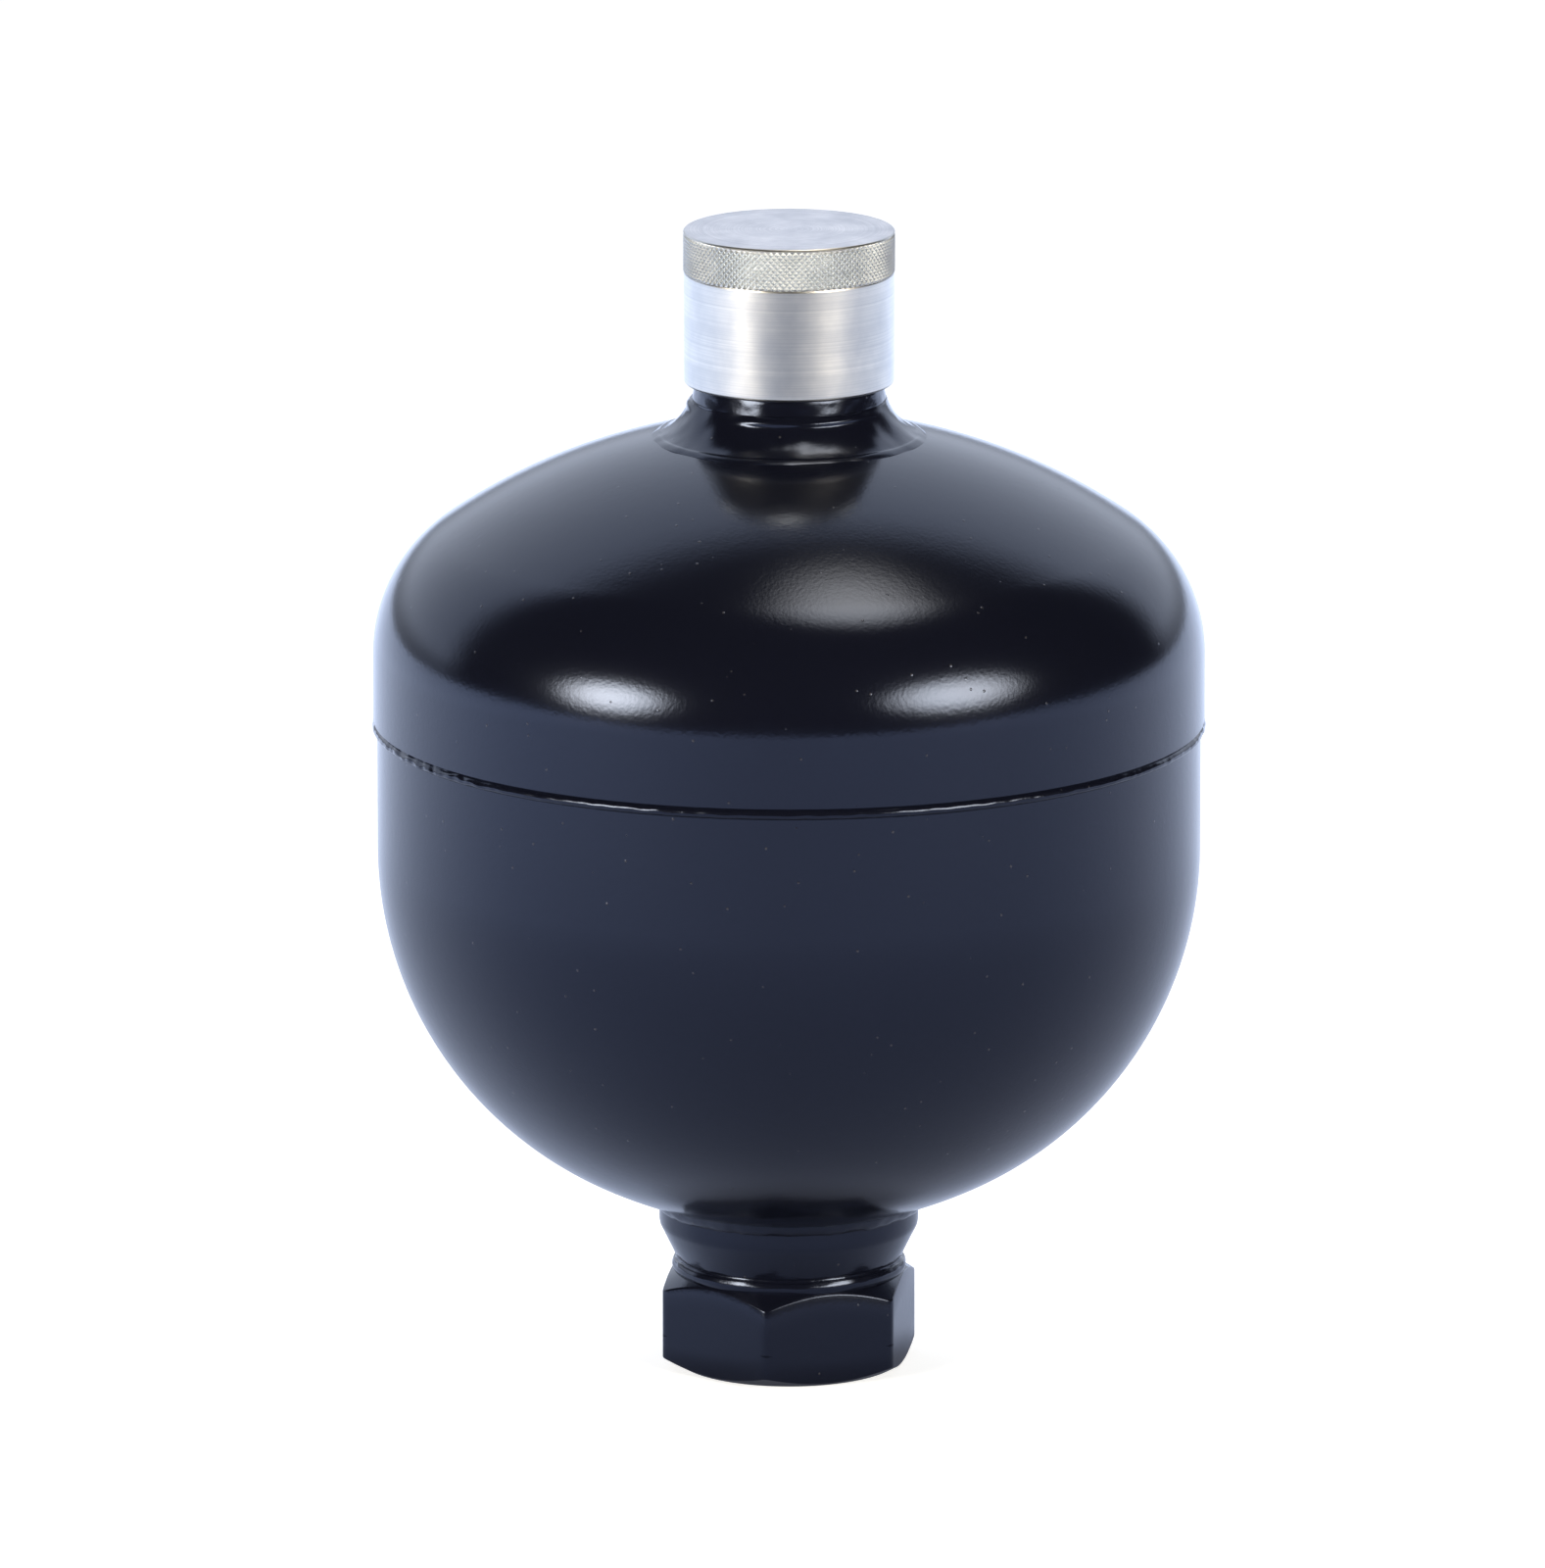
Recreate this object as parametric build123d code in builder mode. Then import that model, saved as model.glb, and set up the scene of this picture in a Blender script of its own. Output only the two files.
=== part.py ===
from build123d import *
from math import acos, atan2, degrees, sqrt
import os

os.makedirs("parts", exist_ok=True)

# Welded diaphragm accumulator of half a litre, standing on its hexagonal fluid port.
# Millimetres, +Z up along the vessel's axis, origin at the middle of the hexagon's lower end.

# Pressed shells. Each is a short straight skirt, a knuckle and a crown. The knuckle radius is
# the shell's radius less the inset, and the crown radius is the shell's radius plus the excess.
shell_wall = 4.5
upper_radius = 53.0
upper_straight = 9.1
upper_knuckle_inset = 33.6
upper_crown_excess = 25.5
seam_step = 0.5
lower_straight = 16.2
lower_knuckle_inset = 5.0
lower_crown_excess = 5.9

# Girth seam: a vee groove that the weld fills, outside a narrow butted land.
groove_depth = 2.2
groove_half_width = 0.65
girth_weld_rise = 0.2

# Clamp ring and rim bead in the mouth of the lower shell.
ledge_width = 1.2
ledge_depth = 9.0
bead_height = 4.0
bead_rib_height = 0.6
bead_rib_width = 1.2
bead_throat = 1.0
bead_shoulder = 2.0
clamp_ring_width = 3.2
clamp_ring_round = 0.9
fit_clearance = 0.05
rubber_clearance = 0.12
cutter_margin = 1.0

# Fluid port: hexagon across flats, female pipe thread G 1/2 drawn at its minor radius.
port_flats = 30.0
port_hex_height = 12.2
port_face_radius = 14.2
port_hex_slope = 0.55
port_top_slope = 0.7
port_neck_radius = 14.8
port_neck_height = 1.2
port_groove_depth = 0.4
port_groove_height = 0.6
port_collar_radius = 16.6
port_cone_height = 4.4
port_rim_height = 2.6
port_spigot_radius = 11.0
port_face_rise = 0.6
port_thread_radius = 9.316
port_thread_depth = 14.0
port_mouth_chamfer = 1.4
port_relief_depth = 0.9
port_relief_height = 2.0
oil_passage_radius = 5.0
oil_passage_round = 0.8

# Fillet weld between the port's collar and the bowl.
port_weld_leg = 0.9
port_weld_height = 0.6

# Gas neck: a turned boss, with the outside thread M22 for the protective cap.
neck_thread_radius = 11.0
neck_thread_length = 6.5
neck_thread_chamfer = 0.6
neck_shoulder = 1.45
neck_height = 6.2
neck_spigot_radius = 8.0
neck_relief_depth = 0.4
neck_relief_height = 1.2
gas_passage_radius = 1.5

# Fillet weld of the neck, with a small toe bead on the dome.
neck_weld_leg = 3.9
neck_weld_height = 4.1
neck_weld_hollow = 0.6
neck_toe_width = 1.1
neck_toe_rise = 0.35

# Gas valve body, screwed into the neck on a seal ring. The neck's wall round it sets its thread,
# and its head stays inside the neck's rim so that the protective cap passes over it.
neck_wall = 4.0
neck_floor = 1.81
valve_drill_space = 1.5
drill_point_slope = 0.6
valve_head_inset = 0.585
valve_head_height = 2.7
valve_head_slope = 0.5
valve_ring_section = 0.6
stem_radius = 3.87
stem_length = 5.2
stem_chamfer = 0.4
valve_inlet_radius = 1.1
valve_inlet_length = 1.6

# Valve core: a screwed barrel, its cone gasket, and a sprung pin with a seal at its foot.
core_thread_radius = 2.6
core_thread_length = 3.2
core_sink = 0.5
core_shank_radius = 1.6
core_chamber_clearance = 0.5
core_wall = 0.45
core_guide_length = 2.0
core_guide_clearance = 0.2
gasket_height = 2.3
gasket_land = 0.4
pin_radius = 0.5
pin_proud = 0.3
pin_collar_height = 0.6
pin_collar_sink = 1.1
pin_foot_height = 0.8
pin_foot_radius = 1.45
core_seal_height = 0.8
spring_wire_radius = 0.14
spring_turns = 7
pin_travel = 1.0
core_foot_space = 0.7

# Valve cap: the small cap that seals the stem.
valve_cap_wall = 0.9
valve_cap_roof = 1.0
valve_cap_gap = 0.4
valve_cap_seal_height = 0.6
valve_cap_flutes = 18
valve_cap_flute_radius = 0.3

# Protective cap over the whole valve.
cap_wall = 2.325
cap_roof = 3.0
cap_head_room = 0.7
cap_thread_run_out = 0.5
cap_cavity_step = 0.6
cap_edge_round = 0.4
knurl_height = 5.5
knurl_rise = 0.1
thread_clearance = 0.05
cap_ring_section = 0.5

# Diaphragm, in its moulded shape with the gas let out, and the button at its centre.
diaphragm_wall = 2.2
diaphragm_side_gap = 2.4
diaphragm_bottom_gap = 0.4
diaphragm_hub_wall = 2.8
diaphragm_hub_margin = 1.5
diaphragm_hub_round = 1.0
button_radius = 8.5
button_thickness = 2.0
button_edge_round = 0.5
button_stem_radius = 2.5
button_washer_radius = 6.5
button_washer_thickness = 1.2
button_washer_chamfer = 0.4
rivet_head_rise = 1.1
rivet_head_height = 0.8


def dish(radius, knuckle, crown):
    """How far a dished end's crown centre lies behind its knuckle centre, and the angle at
    which the knuckle arc meets the crown arc."""
    inset = radius - knuckle
    rise = sqrt((crown - knuckle) ** 2 - inset**2)
    return rise, degrees(atan2(rise, inset))


def dish_arcs(inset, knuckle_z, knuckle, crown_z, crown, turn, end_radius, way):
    """Draws a dished end's knuckle and crown, up to end_radius from the axis. way is 1 for a
    dome and -1 for a bowl."""
    end = degrees(acos(end_radius / crown))
    CenterArc((inset, knuckle_z), knuckle, 0, way * turn)
    CenterArc((0, crown_z), crown, way * turn, way * (end - turn))


def crown_height(crown_z, crown, radius, way):
    """Height of a crown's surface at a radius from the axis."""
    return crown_z + way * sqrt(crown**2 - radius**2)


# Levels and radii that follow from the sizes above, from the port upwards.
lower_radius = upper_radius - seam_step
lower_knuckle = lower_radius - lower_knuckle_inset
lower_crown = lower_radius + lower_crown_excess
lower_rise, lower_turn = dish(lower_radius, lower_knuckle, lower_crown)
groove_z = port_hex_height + port_neck_height + port_groove_height
port_seat_z = groove_z + port_cone_height + port_rim_height
lower_crown_z = port_seat_z + sqrt(lower_crown**2 - port_neck_radius**2)
lower_knuckle_z = lower_crown_z - lower_rise
seam_z = lower_knuckle_z + lower_straight

upper_knuckle = upper_radius - upper_knuckle_inset
upper_crown = upper_radius + upper_crown_excess
upper_rise, upper_turn = dish(upper_radius, upper_knuckle, upper_crown)
upper_knuckle_z = seam_z + upper_straight
upper_crown_z = upper_knuckle_z - upper_rise

upper_bore = upper_radius - shell_wall
lower_bore = lower_radius - shell_wall
groove_root = lower_radius - groove_depth
mouth_radius = lower_bore + ledge_width
ledge_z = seam_z - ledge_depth
bead_top_z = ledge_z + bead_height

neck_radius = neck_thread_radius + neck_shoulder
neck_seat_z = crown_height(upper_crown_z, upper_crown, neck_radius, 1)
cap_seat_z = neck_seat_z + neck_height
neck_top_z = cap_seat_z + neck_thread_length
neck_foot_z = crown_height(upper_crown_z, upper_crown - shell_wall, neck_spigot_radius, 1)

# The tapped hole stops short of the neck's foot, and what is in it stacks up from its end.
valve_thread_radius = neck_thread_radius - neck_wall
valve_bore = valve_thread_radius + thread_clearance
drill_point_z = neck_foot_z + neck_floor
tapped_foot_z = drill_point_z + (valve_bore - gas_passage_radius) * drill_point_slope
shank_foot_z = tapped_foot_z + valve_drill_space
chamber_foot_z = shank_foot_z + valve_inlet_length
pin_foot_z = chamber_foot_z + core_foot_space + pin_travel
core_foot_z = pin_foot_z + pin_foot_height + core_seal_height
valve_head_flats = sqrt(3) * (neck_thread_radius - neck_thread_chamfer - valve_head_inset)
head_top_z = neck_top_z + valve_head_height
stem_top_z = head_top_z + stem_length
core_top_z = stem_top_z - core_sink
core_thread_z = core_top_z - core_thread_length
chamber_radius = core_shank_radius + core_chamber_clearance
core_bore = core_shank_radius - core_wall
cone_foot_z = core_thread_z - gasket_height
cone_top_z = core_thread_z - gasket_land
core_tapped_radius = core_thread_radius + thread_clearance
spring_seat_z = core_foot_z + core_guide_length
collar_top_z = core_top_z - pin_collar_sink

valve_cap_top_z = stem_top_z + valve_cap_seal_height + valve_cap_roof
cap_bore = neck_thread_radius + thread_clearance
cap_radius = cap_bore + cap_wall
cap_ceiling_z = valve_cap_top_z + cap_head_room
cap_top_z = cap_ceiling_z + cap_roof

port_top_z = lower_crown_z - (lower_crown - shell_wall) + port_face_rise
button_top_z = port_top_z + button_thickness
hub_top_z = button_top_z + diaphragm_hub_wall
washer_top_z = hub_top_z + button_washer_thickness


# Lower shell: the bowl, with a flat face for the port and a stepped mouth for the clamp ring.
with BuildPart() as lower_shell:
    with BuildSketch(Plane.XZ):
        with BuildLine():
            dish_arcs(lower_knuckle_inset, lower_knuckle_z, lower_knuckle,
                      lower_crown_z, lower_crown, lower_turn, port_neck_radius, -1)
            inner_end_z = crown_height(lower_crown_z, lower_crown - shell_wall,
                                       port_spigot_radius, -1)
            Polyline((port_neck_radius, port_seat_z), (port_spigot_radius, port_seat_z),
                     (port_spigot_radius, inner_end_z))
            dish_arcs(lower_knuckle_inset, lower_knuckle_z, lower_knuckle - shell_wall,
                      lower_crown_z, lower_crown - shell_wall, lower_turn,
                      port_spigot_radius, -1)
            Polyline((lower_bore, lower_knuckle_z), (lower_bore, ledge_z),
                     (mouth_radius, ledge_z), (mouth_radius, seam_z), (groove_root, seam_z),
                     (lower_radius, seam_z - groove_half_width), (lower_radius, lower_knuckle_z))
        make_face()
    revolve(axis=Axis.Z)
lower_shell.part.label = "lower_shell"
export_step(lower_shell.part, "parts/lower_shell.step")

# Upper shell: the dome, with a flat face and a hole for the gas neck.
with BuildPart() as upper_shell:
    with BuildSketch(Plane.XZ):
        with BuildLine():
            dish_arcs(upper_knuckle_inset, upper_knuckle_z, upper_knuckle,
                      upper_crown_z, upper_crown, upper_turn, neck_radius, 1)
            Polyline((neck_radius, neck_seat_z), (neck_spigot_radius, neck_seat_z),
                     (neck_spigot_radius, neck_foot_z))
            dish_arcs(upper_knuckle_inset, upper_knuckle_z, upper_knuckle - shell_wall,
                      upper_crown_z, upper_crown - shell_wall, upper_turn,
                      neck_spigot_radius, 1)
            Polyline((upper_bore, upper_knuckle_z), (upper_bore, seam_z), (groove_root, seam_z),
                     (upper_radius, seam_z + groove_half_width), (upper_radius, upper_knuckle_z))
        make_face()
    revolve(axis=Axis.Z)
upper_shell.part.label = "upper_shell"
export_step(upper_shell.part, "parts/upper_shell.step")

# Girth weld: fills the vee between the shells and stands a little proud.
with BuildPart() as girth_weld:
    with BuildSketch(Plane.XZ):
        with BuildLine():
            lower_toe = (lower_radius, seam_z - groove_half_width)
            upper_toe = (upper_radius, seam_z + groove_half_width)
            Polyline(lower_toe, (groove_root, seam_z), upper_toe)
            ThreePointArc(upper_toe, (upper_radius + girth_weld_rise, seam_z), lower_toe)
        make_face()
    revolve(axis=Axis.Z)
girth_weld.part.label = "girth_weld"
export_step(girth_weld.part, "parts/girth_weld.step")

# Clamp ring: lies under the upper shell's edge and presses the rim bead onto the ledge. A rib
# on its lower face bites into the bead.
ring_outer = mouth_radius - fit_clearance
ring_inner = ring_outer - clamp_ring_width
rib_radius = (ring_outer + ring_inner) / 2
with BuildPart() as clamp_ring:
    with BuildSketch(Plane.XZ):
        with BuildLine():
            Polyline((ring_inner, seam_z), (ring_outer, seam_z), (ring_outer, bead_top_z),
                     (rib_radius + bead_rib_width / 2, bead_top_z),
                     (rib_radius, bead_top_z - bead_rib_height),
                     (rib_radius - bead_rib_width / 2, bead_top_z),
                     (ring_inner, bead_top_z), close=True)
        make_face()
    revolve(axis=Axis.Z)
    nose = clamp_ring.edges().filter_by(GeomType.CIRCLE).sort_by(
        lambda edge: edge.radius)[0:2]
    fillet(nose, clamp_ring_round)
clamp_ring.part.label = "clamp_ring"
export_step(clamp_ring.part, "parts/clamp_ring.step")

# Button: the steel plate that closes the oil passage, with a stem riveted over the washer.
with BuildPart() as diaphragm_button:
    with BuildSketch(Plane.XZ):
        with BuildLine():
            rivet_radius = button_stem_radius + rivet_head_rise
            Polyline((0, port_top_z), (button_radius, port_top_z), (button_radius, button_top_z),
                     (button_stem_radius, button_top_z), (button_stem_radius, washer_top_z),
                     (rivet_radius, washer_top_z))
            rivet_crown = (0, washer_top_z + rivet_head_height)
            TangentArc(rivet_crown, (rivet_radius, washer_top_z), tangent=(1, 0))
            Line(rivet_crown, (0, port_top_z))
        make_face()
    revolve(axis=Axis.Z)
    rim = diaphragm_button.edges().filter_by(GeomType.CIRCLE).sort_by(
        lambda edge: -edge.radius)[0:2]
    fillet(rim, button_edge_round)
diaphragm_button.part.label = "diaphragm_button"
export_step(diaphragm_button.part, "parts/diaphragm_button.step")

# Washer on the gas side of the diaphragm, under the riveted stem.
with BuildPart() as button_washer:
    with BuildSketch(Plane.XY.offset(hub_top_z)):
        Circle(button_washer_radius)
        Circle(button_stem_radius + fit_clearance, mode=Mode.SUBTRACT)
    extrude(amount=button_washer_thickness)
    chamfer(button_washer.edges().filter_by(GeomType.CIRCLE).group_by(Axis.Z)[-1].sort_by(
        lambda edge: edge.radius)[-1], button_washer_chamfer)
button_washer.part.label = "button_washer"
export_step(button_washer.part, "parts/button_washer.step")

# Diaphragm: a rubber bowl that hangs from its rim bead, clear of the lower shell's side.
diaphragm_radius = lower_bore - diaphragm_side_gap
diaphragm_knuckle = lower_knuckle - shell_wall - diaphragm_side_gap
diaphragm_crown = lower_crown - shell_wall - diaphragm_bottom_gap
diaphragm_rise, diaphragm_turn = dish(diaphragm_radius, diaphragm_knuckle, diaphragm_crown)
diaphragm_knuckle_z = lower_crown_z - diaphragm_rise
pocket_radius = button_radius + rubber_clearance
hub_radius = pocket_radius + diaphragm_hub_margin
inner_crown = diaphragm_crown - diaphragm_wall
inner_radius = diaphragm_radius - diaphragm_wall
bead_outer = mouth_radius - rubber_clearance
bead_inner = diaphragm_radius + bead_throat
with BuildPart() as diaphragm:
    with BuildSketch(Plane.XZ):
        with BuildLine():
            dish_arcs(lower_knuckle_inset, diaphragm_knuckle_z, diaphragm_knuckle,
                      lower_crown_z, diaphragm_crown, diaphragm_turn, pocket_radius, -1)
            pocket_z = crown_height(lower_crown_z, diaphragm_crown, pocket_radius, -1)
            hub_edge_z = crown_height(lower_crown_z, inner_crown, hub_radius, -1)
            hub_hole = button_stem_radius + rubber_clearance
            Polyline((pocket_radius, pocket_z), (pocket_radius, button_top_z),
                     (hub_hole, button_top_z), (hub_hole, hub_top_z),
                     (pocket_radius, hub_top_z), (hub_radius, hub_edge_z))
            dish_arcs(lower_knuckle_inset, diaphragm_knuckle_z,
                      diaphragm_knuckle - diaphragm_wall, lower_crown_z, inner_crown,
                      diaphragm_turn, hub_radius, -1)
            bead_root_z = bead_top_z - bead_shoulder
            Line((inner_radius, diaphragm_knuckle_z), (inner_radius, bead_root_z))
            TangentArc((inner_radius, bead_root_z), (diaphragm_radius, bead_top_z),
                       tangent=(0, 1))
            Polyline((diaphragm_radius, bead_top_z),
                     (rib_radius - bead_rib_width / 2, bead_top_z),
                     (rib_radius, bead_top_z - bead_rib_height),
                     (rib_radius + bead_rib_width / 2, bead_top_z),
                     (bead_outer, bead_top_z), (bead_outer, ledge_z), (bead_inner, ledge_z),
                     (diaphragm_radius, ledge_z - bead_throat),
                     (diaphragm_radius, diaphragm_knuckle_z))
        make_face()
    revolve(axis=Axis.Z)
    hub_foot = diaphragm.edges().filter_by(GeomType.CIRCLE).sort_by(
        lambda edge: abs(edge.radius - hub_radius))[0]
    fillet(hub_foot, diaphragm_hub_round)
diaphragm.part.label = "diaphragm"
export_step(diaphragm.part, "parts/diaphragm.step")

# Fluid port: the chamfered hexagon, a short neck with a groove, a collar that widens up to the
# bowl, and a spigot through it, bored for the pipe thread, its relief and the oil passage.
with BuildPart() as fluid_port:
    with BuildSketch():
        RegularPolygon(port_flats / 2, 6, major_radius=False, rotation=30)
    extrude(amount=port_hex_height)
    with BuildSketch(Plane.XZ):
        with BuildLine():
            hex_reach = port_flats / sqrt(3) + cutter_margin
            foot_slope = (hex_reach - port_face_radius) * port_hex_slope
            top_slope = (hex_reach - port_neck_radius) * port_top_slope
            Polyline((0, 0), (port_face_radius, 0), (hex_reach, foot_slope),
                     (hex_reach, port_hex_height - top_slope),
                     (port_neck_radius, port_hex_height), (0, port_hex_height), close=True)
        make_face()
    revolve(axis=Axis.Z, mode=Mode.INTERSECT)
    with BuildSketch(Plane.XZ):
        with BuildLine():
            Polyline((0, port_hex_height), (port_neck_radius, port_hex_height),
                     (port_neck_radius, groove_z - port_groove_height),
                     (port_neck_radius - port_groove_depth, groove_z),
                     (port_collar_radius, groove_z + port_cone_height),
                     (port_collar_radius, port_seat_z), (0, port_seat_z), close=True)
        make_face()
    revolve(axis=Axis.Z)
    with BuildSketch(Plane.XY.offset(port_seat_z)):
        Circle(port_spigot_radius - fit_clearance)
    extrude(amount=port_top_z - port_seat_z)
    with BuildSketch(Plane.XZ):
        with BuildLine():
            relief_radius = port_thread_radius + port_relief_depth
            relief_top_z = port_thread_depth + port_relief_height
            Polyline((0, 0), (port_thread_radius + port_mouth_chamfer, 0),
                     (port_thread_radius, port_mouth_chamfer),
                     (port_thread_radius, port_thread_depth), (relief_radius, port_thread_depth),
                     (relief_radius, relief_top_z), (oil_passage_radius, relief_top_z),
                     (oil_passage_radius, port_top_z), (0, port_top_z), close=True)
        make_face()
    revolve(axis=Axis.Z, mode=Mode.SUBTRACT)
    passage_mouth = fluid_port.edges().filter_by(GeomType.CIRCLE).group_by(Axis.Z)[-1].sort_by(
        lambda edge: edge.radius)[0]
    fillet(passage_mouth, oil_passage_round)
fluid_port.part.label = "fluid_port"
export_step(fluid_port.part, "parts/fluid_port.step")

# Weld round the port: fills the gap that opens between the collar and the bowl, and ends in a
# narrow fillet on the bowl.
with BuildPart() as fluid_port_weld:
    with BuildSketch(Plane.XZ):
        with BuildLine():
            toe_radius = port_collar_radius + port_weld_leg
            toe_z = crown_height(lower_crown_z, lower_crown, toe_radius, -1)
            weld_end = degrees(acos(toe_radius / lower_crown))
            weld_root = degrees(acos(port_neck_radius / lower_crown))
            CenterArc((0, lower_crown_z), lower_crown, -weld_root, weld_root - weld_end)
            Polyline((toe_radius, toe_z), (port_collar_radius, port_seat_z - port_weld_height),
                     (port_collar_radius, port_seat_z), (port_neck_radius, port_seat_z))
        make_face()
    revolve(axis=Axis.Z)
fluid_port_weld.part.label = "fluid_port_weld"
export_step(fluid_port_weld.part, "parts/fluid_port_weld.step")

# Gas neck: a spigot through the dome, the round neck, a shoulder that the cap lands on, a
# relief for the cap's ring, the cap's thread and the tapped hole for the valve body.
ring_groove = valve_bore + 2 * valve_ring_section + rubber_clearance
ring_sink = 2 * valve_ring_section + rubber_clearance
relief_z = cap_seat_z + neck_relief_height
with BuildPart() as gas_neck:
    with BuildSketch(Plane.XZ):
        with BuildLine():
            relief_inner = neck_thread_radius - neck_relief_depth
            spigot = neck_spigot_radius - fit_clearance
            Polyline((gas_passage_radius, neck_foot_z), (spigot, neck_foot_z),
                     (spigot, neck_seat_z), (neck_radius, neck_seat_z),
                     (neck_radius, cap_seat_z), (relief_inner, cap_seat_z),
                     (relief_inner, relief_z),
                     (neck_thread_radius, relief_z + neck_relief_depth),
                     (neck_thread_radius, neck_top_z - neck_thread_chamfer),
                     (neck_thread_radius - neck_thread_chamfer, neck_top_z),
                     (ring_groove, neck_top_z), (ring_groove, neck_top_z - ring_sink),
                     (valve_bore, neck_top_z - ring_sink), (valve_bore, tapped_foot_z),
                     (gas_passage_radius, drill_point_z), close=True)
        make_face()
    revolve(axis=Axis.Z)
gas_neck.part.label = "gas_neck"
export_step(gas_neck.part, "parts/gas_neck.step")

# Weld round the neck: a concave fillet and a small toe bead on the dome.
with BuildPart() as gas_neck_weld:
    with BuildSketch(Plane.XZ):
        with BuildLine():
            fillet_radius = neck_radius + neck_weld_leg
            fillet_z = crown_height(upper_crown_z, upper_crown, fillet_radius, 1) + neck_toe_rise
            toe_radius = fillet_radius + neck_toe_width
            toe_z = crown_height(upper_crown_z, upper_crown, toe_radius, 1)
            top_z = neck_seat_z + neck_weld_height
            hollow = neck_weld_hollow / sqrt(2)
            ThreePointArc((neck_radius, top_z),
                          ((neck_radius + fillet_radius) / 2 - hollow, (top_z + fillet_z) / 2 - hollow),
                          (fillet_radius, fillet_z))
            ThreePointArc((fillet_radius, fillet_z),
                          ((fillet_radius + toe_radius) / 2, (fillet_z + toe_z) / 2 + neck_toe_rise),
                          (toe_radius, toe_z))
            weld_end = degrees(acos(toe_radius / upper_crown))
            weld_root = degrees(acos(neck_radius / upper_crown))
            CenterArc((0, upper_crown_z), upper_crown, weld_end, weld_root - weld_end)
            Line((neck_radius, neck_seat_z), (neck_radius, top_z))
        make_face()
    revolve(axis=Axis.Z)
gas_neck_weld.part.label = "gas_neck_weld"
export_step(gas_neck_weld.part, "parts/gas_neck_weld.step")

# Gas valve body: threaded shank, hexagon head and the stem, bored for the core.
with BuildPart() as gas_valve_body:
    with BuildSketch(Plane.XY.offset(neck_top_z)):
        RegularPolygon(valve_head_flats / 2, 6, major_radius=False, rotation=30)
    extrude(amount=valve_head_height)
    with BuildSketch(Plane.XZ):
        with BuildLine():
            head_reach = valve_head_flats / sqrt(3) + cutter_margin
            face_radius = valve_head_flats / 2
            drop = (head_reach - face_radius) * valve_head_slope
            Polyline((0, neck_top_z), (head_reach, neck_top_z), (head_reach, head_top_z - drop),
                     (face_radius, head_top_z), (0, head_top_z), close=True)
        make_face()
    revolve(axis=Axis.Z, mode=Mode.INTERSECT)
    with BuildSketch(Plane.XY.offset(shank_foot_z)):
        Circle(valve_thread_radius)
    extrude(amount=neck_top_z - shank_foot_z)
    shank_rim = gas_valve_body.edges().filter_by(GeomType.CIRCLE).sort_by(Axis.Z)[0]
    chamfer(shank_rim, stem_chamfer)
    with BuildSketch(Plane.XY.offset(head_top_z)):
        Circle(stem_radius)
    extrude(amount=stem_length)
    stem_rim = gas_valve_body.edges().filter_by(GeomType.CIRCLE).sort_by(Axis.Z)[-1]
    chamfer(stem_rim, stem_chamfer)
    with BuildSketch(Plane.XZ):
        with BuildLine():
            Polyline((0, shank_foot_z), (valve_inlet_radius, shank_foot_z),
                     (valve_inlet_radius, chamber_foot_z), (chamber_radius, chamber_foot_z),
                     (chamber_radius, cone_foot_z), (core_tapped_radius, cone_top_z),
                     (core_tapped_radius, stem_top_z), (0, stem_top_z), close=True)
        make_face()
    revolve(axis=Axis.Z, mode=Mode.SUBTRACT)
gas_valve_body.part.label = "gas_valve_body"
export_step(gas_valve_body.part, "parts/gas_valve_body.step")

# Seal ring in the recess under the valve's hexagon.
with BuildPart() as gas_valve_ring:
    with BuildSketch(Plane.XZ):
        ring_middle = valve_thread_radius + valve_ring_section + rubber_clearance
        with Locations((ring_middle, neck_top_z - ring_sink / 2)):
            Circle(valve_ring_section)
    revolve(axis=Axis.Z)
gas_valve_ring.part.label = "gas_valve_ring"
export_step(gas_valve_ring.part, "parts/gas_valve_ring.step")

# Valve core barrel: screwed plug at the top, a plain shank, a spring chamber and a pin guide.
guide_radius = pin_radius + core_guide_clearance
with BuildPart() as valve_core_barrel:
    with BuildSketch(Plane.XZ):
        with BuildLine():
            Polyline((core_bore, core_top_z), (core_thread_radius, core_top_z),
                     (core_thread_radius, core_thread_z), (core_shank_radius, core_thread_z),
                     (core_shank_radius, core_foot_z), (guide_radius, core_foot_z),
                     (guide_radius, spring_seat_z), (core_bore, spring_seat_z), close=True)
        make_face()
    revolve(axis=Axis.Z)
valve_core_barrel.part.label = "valve_core_barrel"
export_step(valve_core_barrel.part, "parts/valve_core_barrel.step")

# Cone gasket between the barrel and the taper in the stem.
with BuildPart() as valve_core_gasket:
    with BuildSketch(Plane.XZ):
        with BuildLine():
            gasket_bore = core_shank_radius + fit_clearance
            gasket_top = core_tapped_radius - rubber_clearance
            gasket_foot = chamber_radius - rubber_clearance
            Polyline((gasket_bore, core_thread_z), (gasket_top, core_thread_z),
                     (gasket_top, cone_top_z), (gasket_foot, cone_foot_z),
                     (gasket_bore, cone_foot_z), close=True)
        make_face()
    revolve(axis=Axis.Z)
valve_core_gasket.part.label = "valve_core_gasket"
export_step(valve_core_gasket.part, "parts/valve_core_gasket.step")

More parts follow.
